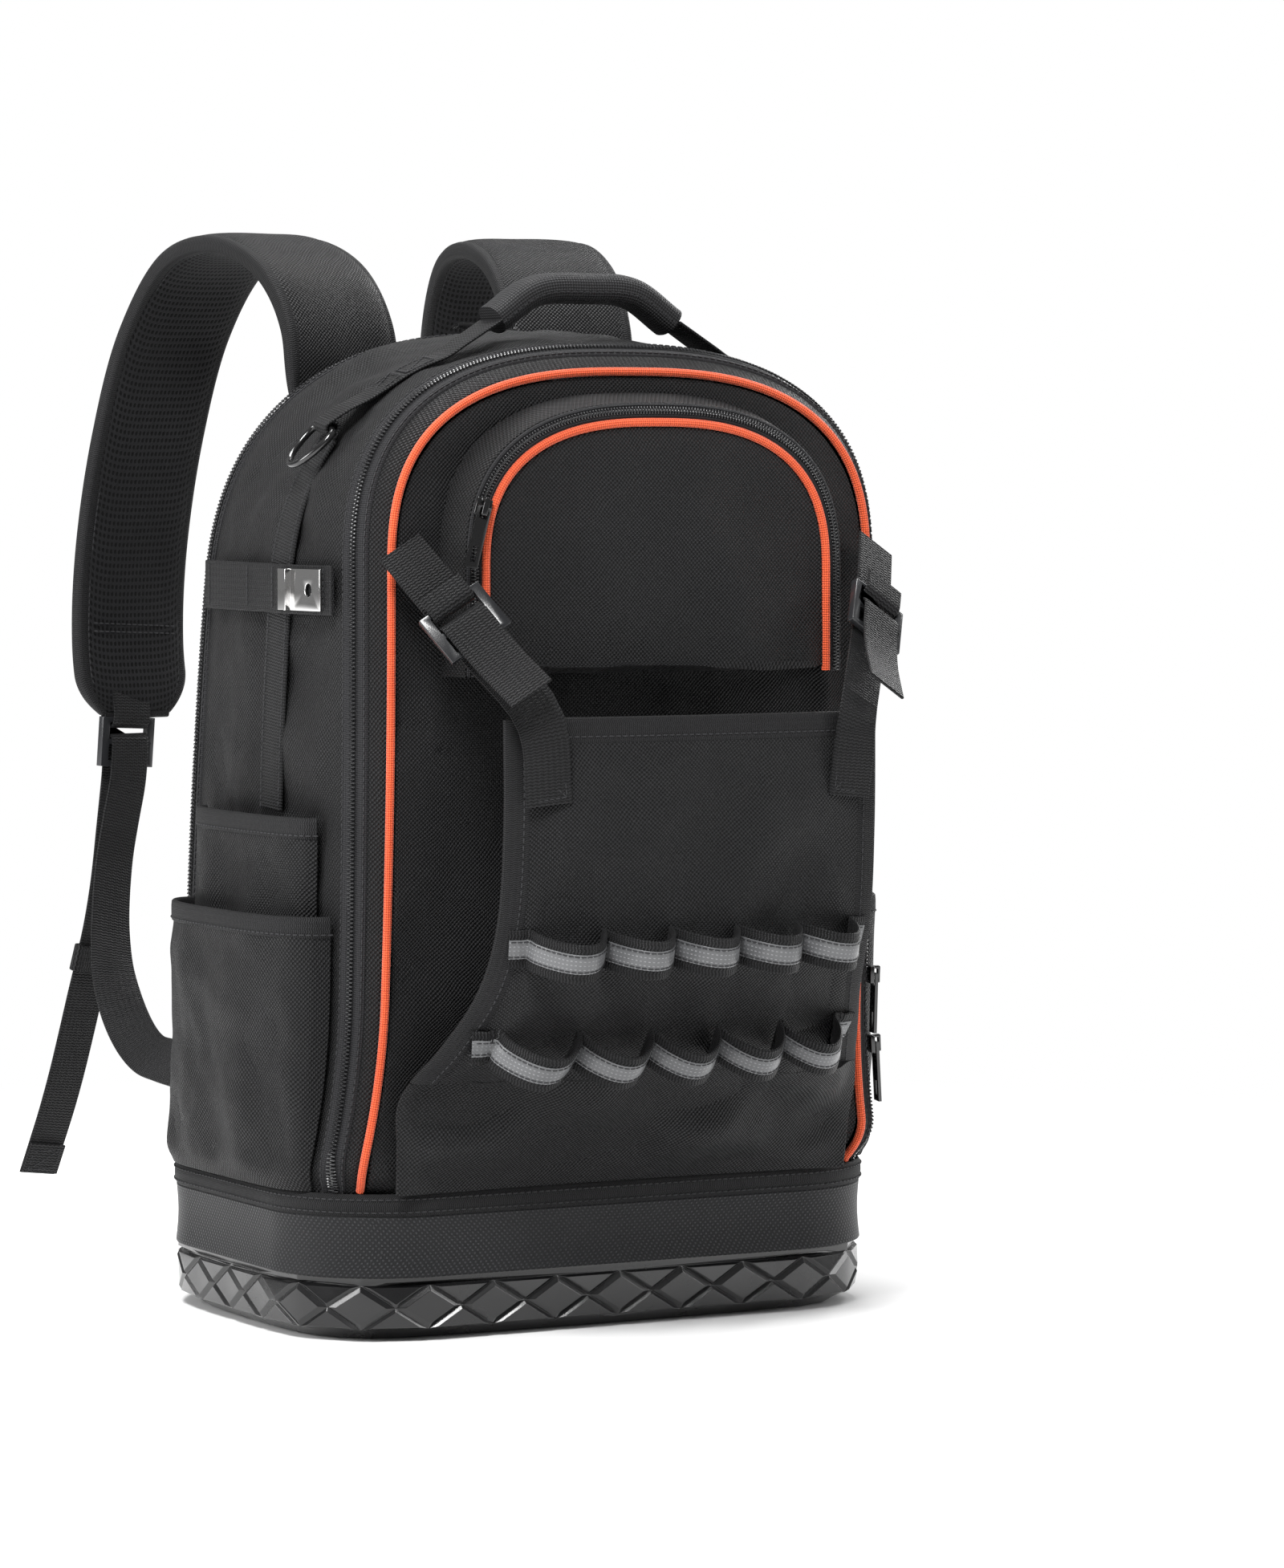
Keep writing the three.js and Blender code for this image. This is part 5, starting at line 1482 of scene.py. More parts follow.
@dataclass
class BodyShell:
    """The zipped body: rim, gusset, zips, front border, piping and the two flat faces."""

    coil: CoilZip = CoilZip()
    flat_drape: Drape = Drape(38, 0.3, 14, 0.09, 1)
    gusset_drape: Drape = Drape(38, 4.2, 14, 1.26, 1)
    edge_draw: float = 0.5
    seam_share: float = 0.86
    seam_lift: float = 0.75
    face_tuck: float = 4
    front_seam: Ridge = Ridge(312, 2.2, -1.1)
    front_crease: Ridge = Ridge(112, 7, 2.2)
    front_drape: Drape = Drape(42, 3.6, 16, 0.9, 3)
    crease_foot: float = 300
    crease_top: float = 440
    crease_fade: float = 60
    pull_height: float = 1.4
    pull_slant: float = 0.5
    pull_period: float = 9
    pull_top: float = 150
    pull_fade: float = 70
    back_pad: float = 6.0
    back_uprights: Ridge = Ridge(46, 4)
    back_levels: tuple[Ridge, Ridge] = (Ridge(210, 4), Ridge(345, 4))
    quilt_depth: float = 3.2
    back_draw: float = 2.5

    def strip(
        self, low: Callable[[float], float], high: Callable[[float], float], count: int
    ) -> Grid:
        """Points of the body's side between two places, each worked out from the way round."""
        return np.stack([
            array([SHAPE.skin(lerp(low(r), high(r), t), r) for t in steps(count)]) for r in rounds()
        ])

    def dressed(self, node: str, rows: Grid, drape: Drape) -> None:
        """A strip of cloth, soft between its seams, which draw it down a little."""
        width = faded(rows.shape[1], 0.18)[None]
        relief = drape.over(rows) * width - (1 - width) * self.edge_draw
        Workshop.cloth(f"{node}_cloth", sheet(rows, CLOTH, relief), BODY_CLOTH, [node])

    def seam(self, name: str, at: float) -> None:
        """A row of stitches round the body."""
        every = rounds()[4:-4]
        line = array([SHAPE.off(at, r, self.seam_lift) for r in every])
        sew(name, [(line, array([SHAPE.normal(at, r) for r in every]))])

    def face(self, at: float, inset: float, facing: int, height: int = 90) -> Grid:
        """A flat face that fills the body's outline.

        Args:
            at: Its place on the body's side.
            inset: How far it is drawn in from the outline.
            facing: 1 for the back and -1 for the front.
            height: How many rows of quads it gets.

        Returns:
            Its points.
        """
        section = SHAPE.section(at)
        leg = SHAPE.leg_share / 2
        columns = []
        for r in steps(ARCH_STEPS, leg, 1 - leg):
            x, top = section.arch_point(max(arch_turn(r, SHAPE.leg_share), 0))
            columns.append(((-1 if r < 0.5 else 1) * x, top - inset))
        rows = []
        for t in steps(height):
            row = []
            for x, top in columns:
                z = lerp(SHAPE.body_foot, top, t)
                narrow = (section.half - inset + SHAPE.flare_at(z)) / section.half
                y = SHAPE.depth(section, z) + facing * SHAPE.face_out(section, x, t)
                row.append(SHAPE.tucked(Vector((x * narrow, y, z)), self.face_tuck))
            rows.append(array(row))
        grid = np.stack(rows)
        return grid[:, ::-1] if facing > 0 else grid

    def front(self) -> None:
        """The front panel, with a seam across it and soft creases over its foot."""
        rows = self.face(1, PIPING_RADIUS + 3 * CLEARANCE, -1)
        x, z = rows[..., 0], rows[..., 2]
        crease = self.front_crease.over(np.abs(x)) * (z > self.crease_foot)
        crease = crease * below(z, self.crease_top, self.crease_fade)
        pull = self.pull_height * np.sin((x * self.pull_slant + z) / self.pull_period)
        pull = pull * below(z, self.pull_top, self.pull_fade)
        relief = self.front_seam.over(z) + crease + pull + self.front_drape.over(rows)
        panel = sheet(rows, CLOTH, relief * pinned(rows, 0.06), uv=flat_uv(rows))
        Workshop.cloth("front_panel_cloth", panel, FACE_CLOTH, ["front_panel"])

    def back(self) -> None:
        """The back panel: padded air mesh, quilted in three upright fields."""
        rows = self.face(0, 2 * CLEARANCE + CLOTH, 1)
        x, z = rows[..., 0], rows[..., 2]
        lines = self.back_uprights.over(np.abs(x))
        for level in self.back_levels:
            lines = lines + level.over(z)
        quilt = self.quilt_depth * np.clip(lines, 0, 1) * pinned(rows, 0.05)
        drawn = self.back_draw * (1 - pinned(rows, 0.03))
        relief = ripple(rows, 60, 0.8, 5) * pinned(rows) - quilt - drawn
        pad = sheet(rows, self.back_pad, relief, uv=flat_uv(rows))
        Workshop.cloth("back_panel_mesh", pad, AIR_MESH, ["back_panel"], padding=0.7)

    def build(self) -> None:
        """Makes the body's pieces."""
        gap, half = SHAPE.share(CLEARANCE), SHAPE.share(SHAPE.zip_width / 2)
        rear, front = SHAPE.rear_zip_at, SHAPE.front_zip_at

        def between(low: float, high: float, count: int) -> Grid:
            """The strip between two fixed places."""
            return self.strip(lambda _: low, lambda _: high, count)

        self.dressed("back_rim", between(0, rear - half - gap, 8), self.flat_drape)
        self.coil.build("rear_zip", between(rear - half, rear + half, 24))
        gusset = between(rear + half + gap, front - half - gap, 44)
        self.dressed("main_gusset", gusset, self.gusset_drape)
        self.coil.build("front_zip", between(front - half, front + half, 24))
        room = PIPING_RADIUS + CLEARANCE
        start = front + half + gap
        border = self.strip(lambda _: start, lambda r: SHAPE.place_short_of(r, room), 8)
        self.dressed("front_border", border, self.flat_drape)
        for name, at in (("rear", rear), ("front", front)):
            self.seam(f"{name}_zip_inner_seam", at + half * self.seam_share)
            self.seam(f"{name}_zip_outer_seam", at - half * self.seam_share)
        foot = SHAPE.round_at(1, SHAPE.base_top + PIPING_RADIUS / 2 + CLEARANCE)
        piping("outer_piping", [SHAPE.skin(1, r) for r in rounds(foot, 1 - foot)])
        self.front()
        self.back()


@dataclass
class UpperPocket:
    """The zipped pocket on the front panel."""

    width: float = 196
    top: float = 462
    foot: float = 336
    depth: float = 22
    spread: float = 15
    seat: float = 1.2
    arch: float = 0.6
    power: float = 2.6
    leg_share: float = 0.5
    fill: float = 6
    wall_foot: tuple[float, float] = (1.0, 0.0)
    wall_top: tuple[float, float] = (0.66, 0.86)
    zip_outer: tuple[float, float] = (0.62, 0.95)
    zip_inner: tuple[float, float] = (0.16, 0.99)
    coil: CoilZip = CoilZip(1.7, 2.0, 0.5, welt=Ridge(0.8, 0.2, 0.7), groove=Ridge(0, 1, 0))
    face_drape: Drape = Drape(40, 3.4, 16, 0.7, 7)
    lip_fullness: float = 0.7
    fill_start: float = 0.2

    def line(self, spread: float, rise: float, inset: float = 0) -> Callable[[float], Vector]:
        """A line round the pocket.

        Args:
            spread: How far over the panel it lies, as a share of the pocket's spread.
            rise: How far off the panel it lies, as a share of the pocket's depth.
            inset: How far it is drawn in, in millimetres.

        Returns:
            A function from a way round to the line's point there.
        """
        out = spread * self.spread - inset
        arch = self.arch * (self.top - self.foot) + out
        shape = Section(0, 0, 0, self.width / 2 + out, self.top + out, arch, self.power)

        def point(r: float) -> Vector:
            """The line's point at a way round."""
            half = min(r, 1 - r) * 2
            x, z = shape.half, lerp(self.foot, shape.top - shape.arch, half / self.leg_share)
            turn = arch_turn(r, self.leg_share)
            if turn > 0:
                x, z = shape.arch_point(turn)
            side = -1 if r < 0.5 else 1
            y = SHAPE.front_face(x, z) - self.seat - rise * self.depth
            return Vector((side * max(x, 0), y, z))

        return point

    def ways(self) -> list[float]:
        """Places round the pocket, closer together on its arch."""
        leg = self.leg_share / 2
        return [*steps(24, 0, leg)[:-1], *steps(120, leg, 1 - leg), *steps(24, 1 - leg, 1)[1:]]

    def strip(self, low: tuple[float, float], high: tuple[float, float], count: int) -> Grid:
        """Points between two lines, each a spread and a rise."""
        shares = [(lerp(low[0], high[0], t), lerp(low[1], high[1], t)) for t in steps(count)]
        lines = [self.line(*share) for share in shares]
        return np.stack([array([line(r) for line in lines]) for r in self.ways()])

    def build(self) -> None:
        """Makes the pocket's pieces."""
        wall = self.strip(self.wall_foot, self.wall_top, 12)
        relief = ripple(wall, 22, 1.2, 6) * pinned(wall, 0.2)
        Workshop.cloth("pocket_wall_cloth", sheet(wall, CLOTH, relief), BODY_CLOTH, ["pocket_wall"])
        self.coil.build("pocket_zip", self.strip(self.zip_outer, self.zip_inner, 10))
        seam = self.line(0, 1)
        piping("pocket_piping", [seam(r) for r in self.ways()])
        self.face()

    def face(self) -> None:
        """The pocket's face, with a lip at its foot that turns back to the panel."""
        room = PIPING_RADIUS + 2 * CLEARANCE
        edge = self.line(0, 1, room)
        leg = self.leg_share / 2
        columns = [edge(r) for r in steps(110, leg, 1 - leg)]
        rows = []
        for t in steps(7)[:-1]:
            back = math.cos(t * math.pi / 2) ** self.lip_fullness
            row = []
            for top in columns:
                panel = SHAPE.front_face(top.x, self.foot) - self.seat
                row.append((top.x, lerp(top.y, panel, back), self.foot + room * t * t))
            rows.append(row)
        for t in steps(44):
            row = []
            for top in columns:
                across = top.x / (self.width / 2)
                swell = math.sin(math.pi * min(1, lerp(self.fill_start, 1, t)))
                fill = self.fill * (1 - across**2) * swell
                row.append((top.x, top.y - fill, lerp(self.foot + room, top.z, t)))
            rows.append(row)
        grid = np.array(rows)
        face = sheet(grid, CLOTH, self.face_drape.over(grid) * pinned(grid, 0.15), uv=flat_uv(grid))
        Workshop.cloth("pocket_face_cloth", face, FACE_CLOTH, ["pocket_face"])


@dataclass
class SlingPocket:
    """The open pocket that hangs at the front, its bound edges and two bands of tool loops."""

    top: float = 316
    width: float = 268
    depth: float = 84
    binding: float = 12
    loop_web: float = 20
    loop_lean: float = 0.35
    loops: int = 5
    rows: tuple = (
        dict(at=0.0, half=0.485, out=0.0, hold=1.0),
        dict(at=0.1, half=0.49, out=0.24, hold=1.0),
        dict(at=0.2, half=0.495, out=0.42, hold=0.9),
        dict(at=0.3, half=0.455, out=0.66, hold=0.55),
        dict(at=0.42, half=0.415, out=0.86, hold=0.34),
        dict(at=0.56, half=0.4, out=0.98, hold=0.22),
        dict(at=0.76, half=0.395, out=1.02, hold=0.18),
        dict(at=1.0, half=0.395, out=1.0, hold=0.16),
    )
    edge_foot: float = 0.24
    folds: tuple = (
        dict(share=1.0, across=0.35, up=1.1, period=8.5, shift=0),
        dict(share=0.8, across=-0.55, up=1.0, period=12, shift=2),
    )
    fold_height: float = 3.2
    drape: Drape = Drape(42, 5.0, 17, 1.6, 9)
    binding_wall: float = 3
    binding_puff: float = 0.5
    seam_lift: float = 0.35
    bands: tuple = (
        dict(name="upper_loops", height=203, depth=25, span=184, seat=-CLEARANCE),
        dict(name="lower_loops", height=153, depth=23, span=196, seat=3 * CLEARANCE),
    )
    loop_shares: tuple[float, ...] = (0, 0.05, 0.16, 0.34, 0.5, 0.66, 0.84, 0.95)
    loop_fullness: float = 0.7
    end_tabs: tuple[float, float] = (0.025, 0.05)
    stripe_width: float = 10
    stripe_wall: float = 0.5
    stripe_lift: float = 0.12
    stripe_seam: float = 4.0

    @property
    def foot(self) -> float:
        """Height of the sling's foot."""
        return SHAPE.base_top + CLEARANCE

    def half(self, up: float) -> float:
        """Half the sling's width at a share of its height, as a share of its width."""
        return column(self.rows, "half", up)

    def up(self, z: float) -> float:
        """A height as a share of the sling's height."""
        return (z - self.foot) / (self.top - self.foot)

    def point(self, across: float, up: float) -> Vector:
        """A point of the sling, across from -1 to 1 and up from 0 to 1."""
        z = lerp(self.foot, self.top, up)
        front = -SHAPE.base_depth / 2 - column(self.rows, "out", up) * self.depth
        panel = min(SHAPE.depth(SHAPE.section(1), z) - SHAPE.panel_bulge - 2, -SHAPE.base_depth / 2)
        back = abs(across) ** 2.6 * column(self.rows, "hold", up)
        return Vector((across * self.half(up) * self.width, lerp(front, panel, back), z))

    def edge(self, up: float) -> float:
        """How far across the wall reaches, short of its binding."""
        return 1 if up < self.edge_foot - 0.001 else 1 - self.binding / (self.half(up) * self.width)

    def wall(self) -> None:
        """The sling's cloth, which drapes in folds over its foot."""
        top_edge = 1 - self.binding / (self.top - self.foot)
        low = steps(26, 0, self.edge_foot - 0.002)
        ups = [*low, *steps(60, self.edge_foot, top_edge)]
        shares = steps(110, -1, 1)
        grid = np.stack([array([self.point(c * self.edge(u), u) for c in shares]) for u in ups])
        x, z = grid[..., 0], grid[..., 2]
        sag = below(z, 178, 60) * above(z, 78, 25) * self.fold_height
        folds = 0
        for row in self.folds:
            way = x * row["across"] + z * row["up"]
            folds = folds + row["share"] * np.sin(way / row["period"] + row["shift"])
        relief = (folds * sag + self.drape.over(grid)) * pinned(grid, 0.08)
        Workshop.cloth("sling_cloth", sheet(grid, CLOTH, relief), FACE_CLOTH, ["sling_pocket"])

    def bindings(self) -> None:
        """The webbing folded over the sling's top and sides."""
        puff = self.binding_puff * np.sin(np.linspace(0, math.pi, 9)) ** 0.5
        top_edge = 1 - (self.binding - CLEARANCE) / (self.top - self.foot)
        ups, shares = steps(8, top_edge, 1), steps(90, -1, 1)
        rows = np.stack([array([self.point(c * self.edge(u), u) for c in shares]) for u in ups])
        top = sheet(rows, self.binding_wall, puff[:, None], uv=arc_uv(rows)[..., ::-1])
        Workshop.cloth("sling_top_binding", top, BINDING_WEB, ["sling_binding_top"])
        side = []
        for up in steps(90, self.edge_foot, 1):
            inner = self.edge(up) + CLEARANCE / (self.half(up) * self.width)
            side.append(array([self.point(-lerp(1, inner, t), up) for t in steps(8)]))
        grid = np.stack(side)
        piece = sheet(grid, self.binding_wall, puff[None])
        Workshop.pair("sling_side_binding", piece, BINDING_WEB, "sling_binding")
        out = grid_normals(grid)[:, 6]
        sew("sling_side_seam", [(grid[:, 6] + out * self.seam_lift, out)], paired=True)
        out = grid_normals(rows)[2]
        sew("sling_top_seam", [(rows[2] + out * self.seam_lift, out)])

    def band(self, name: str, height: float, depth: float, span: float, seat: float) -> None:
        """A band of webbing, sewn down between loops, with a reflective stripe along it.

        Args:
            name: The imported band.
            height: Height of its middle.
            depth: How far its loops stand off.
            span: Its length from the first loop's start to the last one's end.
            seat: Its distance from the sling where it is sewn down.
        """
        near, far = self.end_tabs
        stops = [(-far, 0.0), (-near, 0.0)]
        for i in range(self.loops):
            for share in self.loop_shares:
                lift = math.sin(math.pi * share) ** self.loop_fullness
                stops.append(((i + share) / self.loops, lift))
        stops += [(1.0, 0.0), (1 + near, 0.0), (1 + far, 0.0)]
        up = self.up(height)
        half = self.half(up) * self.width
        reach = self.loop_web / 2 / (self.top - self.foot)
        low, middle, high = (
            [self.point((along - 0.5) * span / half, up + shift) for along, _ in stops]
            for shift in (-reach, 0, reach)
        )
        upwards = [(b - a).normalized() for a, b in zip(low, high)]
        path = []
        for i, (_, lift) in enumerate(stops):
            before, after = middle[max(i - 1, 0)], middle[min(i + 1, len(stops) - 1)]
            facing = (after - before).cross(upwards[i]).normalized()
            p = middle[i].copy()
            p.y = min(p.y, (low[i].y + high[i].y) / 2)
            forward = Vector((facing.x * self.loop_lean, facing.y, facing.z))
            path.append(p + facing * (WEBBING / 2 + seat) + forward * lift * depth)
        line, axes = eased(path, upwards, 1.6)
        web = sweep(line, axes, strap_section(self.loop_web))
        Workshop.cloth(f"{name}_web", web, STRAP_WEB, [name])
        out = line_frames(array(line), array(axes))[2] * -1
        raised = array(line) + out * (WEBBING / 2 + self.stripe_lift)
        section = strap_section(self.stripe_width, self.stripe_wall)
        stripe = sweep([Vector(p) for p in raised], axes, section)
        Workshop.cloth(f"{name}_stripe", stripe, REFLECTIVE)
        reaches = [unit(array(axes)) * hand * self.stripe_seam for hand in (-1, 1)]
        sew(f"{name}_seams", [(raised + shift + out * 0.2, out) for shift in reaches], pitch=3.2)

    def build(self) -> None:
        """Makes the sling's pieces."""
        self.wall()
        self.bindings()
        for band in self.bands:
            self.band(**band)


@dataclass
class SidePockets:
    """Two open pockets, one inside the other, on each side of the bag."""

    pockets: tuple = (
        dict(
            name="inner_side_pocket", seed=11,
            top=262, depth=14, foot_depth=3, low=0.215, high=0.785,
        ),
        dict(
            name="outer_side_pocket", seed=13,
            top=213, depth=27, foot_depth=9, low=0.165, high=0.845,
        ),
    )
    pleats: int = 3
    pleat_depth: float = 2.6
    hem_width: float = 11
    hem_drop: float = 4.0
    seam_drop: float = 7.5
    seam_lift: float = 0.75

    def grid(self, top: float, depth: float, foot_depth: float, low: float, high: float) -> Grid:
        """Points of the left pocket's outside.

        Args:
            top: Height of its rim.
            depth: How far its rim stands off the bag.
            foot_depth: How far its foot does.
            low: Its rear edge's place on the body's side.
            high: Its front edge's place there.

        Returns:
            Its points.
        """
        edge = CLOTH + 3 * CLEARANCE
        rows = []
        for t in steps(56):
            z = lerp(SHAPE.base_top + 2 * CLEARANCE, top, t)
            reach = lerp(foot_depth, depth, math.sin(math.pi / 2 * min(1, 1.15 * t)) ** 0.8)
            row = []
            for share in steps(64):
                at = lerp(low, high, share)
                fill = max(0, 1 - abs(2 * share - 1) ** 3.2) ** (1 / 2.2)
                p = SHAPE.skin(at, SHAPE.round_at(at, z))
                row.append((p.x - edge - (reach - edge) * fill, p.y, z))
            rows.append(row)
        return np.array(rows)

    def pocket(self, name: str, seed: int, **sizes: float) -> None:
        """A pocket with pleats at its foot, its bound top and the binding's stitches."""
        grid = self.grid(**sizes)
        t = np.linspace(0, 1, grid.shape[0])[:, None]
        share = np.linspace(0, 1, grid.shape[1])[None]
        pleat = np.cos(share * math.tau * self.pleats) * self.pleat_depth
        pleat = pleat * np.clip(1 - t * 1.1, 0, 1) * np.clip(t * 6, 0, 1)
        relief = (pleat + Drape(34, 4.0, 14, 1.0, seed).over(grid)) * pinned(grid, 0.1)
        Workshop.pair(f"{name}_cloth", sheet(grid, CLOTH, relief), BODY_CLOTH, name)
        out = grid_normals(grid)[-1]
        centre = [Vector(p) for p in grid[-1] - out * CLOTH / 2 - (0, 0, self.hem_drop)]
        hem = sweep(centre, UPWARDS, oval(self.hem_width, CLOTH + 1.5, 16, 5))
        Workshop.pair(f"{name}_binding", hem, BINDING_WEB)
        row = grid[-1] + out * self.seam_lift - (0, 0, self.seam_drop)
        sew(f"{name}_seam", [(row, out)], paired=True)

    def build(self) -> None:
        """Makes the four pockets."""
        for pocket in self.pockets:
            self.pocket(**pocket)


BOX_CORNERS = ((-1, -1), (1, -1), (1, 1), (-1, 1), (-1, -1), (1, 1))
BOX_PITCH = 3.2
BOX_LIFT = 0.1


def box_stitch(
    centre: Vector, along: Vector, across: Vector, length: float, width: float
) -> list[tuple[Grid, Grid]]:
    """The seams of a sewn box with a stroke across it, on a strap's face.

    Args:
        centre: Its middle.
        along: The direction of its length.
        across: The direction of its width.
        length: Its length.
        width: Its width.

    Returns:
        Seams for sew.
    """
    along, across = along.normalized(), across.normalized()
    out = along.cross(across).normalized()
    spots = [
        centre + along * (a * length / 2) + across * (b * width / 2) + out * BOX_LIFT
        for a, b in BOX_CORNERS
    ]
    return [
        (array([a, a.lerp(b, 0.5), b]), array([out] * 3)) for a, b in zip(spots, spots[1:])
    ]


RING_AT = 0.65
RING_ROUND = 0.342
HANDLE_AT = 0.71
HANDLE_ROUND = 0.425
EYE_RADIUS = 2.7
RING_LIFT = EYE_RADIUS + 2 * WEBBING + 2 * CLEARANCE
TAPE_STRAP_HEIGHT = 378


@dataclass
class SideWebbing:
    """The upright strap on each side, the strap across it and the steel plate on that."""

    upright_at: float = 0.57
    upright_foot: float = 266
    upright_ease: float = 0.9
    low: float = 0.16
    high: float = 0.85
    cross_ease: float = 1
    seam_share: float = 0.41
    bar_reach: float = 10
    bars: tuple[int, ...] = (3, 24, 36, 57)

    def build(self) -> None:
        """Makes the side straps."""
        lift = CLEARANCE + WEBBING / 2
        foot = SHAPE.round_at(self.upright_at, self.upright_foot)
        places = [
            (lerp(self.upright_at, RING_AT, t * t), lerp(foot, RING_ROUND - 0.004, t))
            for t in steps(40)
        ]
        path = [SHAPE.off(at, r, lift + self.upright_ease) for at, r in places]
        axes = [SHAPE.skin(at + 0.03, r) - SHAPE.skin(at - 0.03, r) for at, r in places]
        Workshop.pair("side_strap", sweep(path, axes, strap_section()), STRAP_WEB, "side_webbing")
        out = array([SHAPE.normal(at, r) for at, r in places])
        across = unit(array(axes)) * WEB_WIDTH * self.seam_share
        rows = [(array(path) + across * hand + out * WEBBING / 2, out) for hand in (-1, 1)]
        sew("side_strap_seams", rows, paired=True)
        stacked = lift + WEBBING + CLEARANCE + self.cross_ease
        ats = steps(60, self.low, self.high)
        holder = [SHAPE.off(at, SHAPE.round_at(at, TAPE_STRAP_HEIGHT), stacked) for at in ats]
        web = sweep(holder, UPWARDS, strap_section())
        Workshop.pair("cross_strap", web, STRAP_WEB, "tape_strap")
        rows = []
        for place in self.bars:
            p, ahead = holder[place], (holder[place + 1] - holder[place]).normalized()
            facing = ahead.cross(UPWARDS).normalized()
            spots = [p + UPWARDS * s * self.bar_reach + facing * WEBBING / 2 for s in (-1, 0, 1)]
            rows.append((array(spots), array([facing] * 3)))
        sew("cross_strap_seams", rows, paired=True, pitch=3.0)
        Workshop.hard("tape_clip", POLISHED, PLATE_EDGE)


@dataclass
class Handle:
    """The grab handle: webbing sewn to the bag, eyes for the rings and a padded roll."""

    length: float = 118
    width: float = 23
    thickness: float = 16
    rise: float = 13
    arch: float = 22
    eye_width: float = 21
    gather_share: float = 0.25
    boxes: tuple[tuple[float, float], ...] = ((0.45, 26), (0.8, 16))
    box_width: float = 19

    @property
    def run(self) -> Vector:
        """From the ring to the handle's foot."""
        return SHAPE.skin(HANDLE_AT, HANDLE_ROUND) - SHAPE.skin(RING_AT, RING_ROUND)

    def eye(self) -> Surface:
        """The webbing that turns round the ring's bar."""
        centre = SHAPE.off(RING_AT, RING_ROUND, RING_LIFT)
        normal = SHAPE.normal(RING_AT, RING_ROUND)
        bar = normal.cross(self.run - normal * self.run.dot(normal)).normalized()
        up = bar.cross(normal).normalized()
        radius = EYE_RADIUS + WEBBING / 2
        turns = steps(32, 0, math.tau)[:-1]
        ring = [centre + normal * radius * math.cos(a) + up * radius * math.sin(a) for a in turns]
        return sweep(ring, bar, strap_section(self.eye_width), closed=True)

    def webbing(self) -> Vector:
        """Makes the webbing from the ring to the roll, and gives the roll's end."""
        over_eye = RING_LIFT + EYE_RADIUS + WEBBING / 2
        lift = CLEARANCE + WEBBING / 2 + 0.5
        places = [
            (
                lerp(RING_AT, HANDLE_AT, t),
                lerp(RING_ROUND, HANDLE_ROUND, t),
                lerp(over_eye, lift, min(1, 2.5 * t)),
            )
            for t in steps(6)
        ]
        sewn = [SHAPE.off(*place) for place in places]
        axes = [SHAPE.normal(at, r).cross(self.run).normalized() for at, r, _ in places]
        foot = sewn[-1]
        leg_end = Vector((7 - self.length / 2, foot.y, foot.z + self.rise + 5))
        leg = [foot.lerp(leg_end, 0.35), foot.lerp(leg_end, 0.7), leg_end]
        leg_axes = [axes[-1].lerp(FORWARD_AND_BACK, (i + 1) / 3) for i in range(3)]
        line, fine_axes = eased([*sewn, *leg], [*axes, *leg_axes])
        narrow = self.eye_width / WEB_WIDTH
        gather = np.clip(np.linspace(0, 1, len(line)) / self.gather_share, 0, 1)
        web = sweep(line, fine_axes, strap_section(), widths=narrow + (1 - narrow) * gather)
        Workshop.pair("handle_web", web.join(self.eye()), STRAP_WEB, "handle_strap")
        rows = []
        for share, length in self.boxes:
            at, r = lerp(RING_AT, HANDLE_AT, share), lerp(RING_ROUND, HANDLE_ROUND, share)
            normal = SHAPE.normal(at, r)
            along = self.run - normal * self.run.dot(normal)
            spot = SHAPE.off(at, r, lift + WEBBING / 2)
            rows += box_stitch(spot, along, normal.cross(self.run), length, self.box_width)
        sew("handle_sewn_boxes", rows, paired=True, pitch=BOX_PITCH)
        return leg_end

    def build(self) -> None:
        """Makes the handle's pieces and the rings."""
        leg_end = self.webbing()
        start = leg_end + Vector((0.6, 0, 0.4))
        crown = Vector((0, leg_end.y, leg_end.z - 5 + self.arch))
        shoulder = Vector((-self.length * 0.24, crown.y, crown.z - 2))
        twin = Side.RIGHT.place
        path = smooth_path([start, shoulder, crown, twin(shoulder), twin(start)], 90)
        roll = sweep(path, FORWARD_AND_BACK, oval(self.width, self.thickness, 28, 2.4))
        Workshop.cloth("handle_roll", roll, GRIP_TWILL, ["handle_grip"], padding=0.8)
        side = np.broadcast_to(np.array([0.0, -1.0, 0.0]), (len(path), 3))
        sew("handle_roll_seam", [(array(path) + side * (self.width / 2 - 0.4) - (0, 0, 2.0), side)])
        for name in ("d_ring_left", "d_ring_right"):
            Workshop.hard(name, BLACK_PAINT, 0, body=name, rounding=2)


@dataclass
class ZipSliders:
    """Every zip's slider and the pull that swings on it."""

    names: tuple[str, ...] = (
        "rear_zip_left", "rear_zip_right", "front_zip_upper", "front_zip_lower", "pocket_zip",
    )

    def build(self) -> None:
        """Makes the sliders and pulls."""
        for name in self.names:
            Workshop.hard(f"{name}_slider", BLACK_PAINT, SLIDER_EDGE)
            Workshop.hard(f"{name}_pull", BLACK_PAINT, PULL_EDGE, body=f"{name}_pull")


BAR_SPACING = 12.2
TURN_RADIUS = 3.9


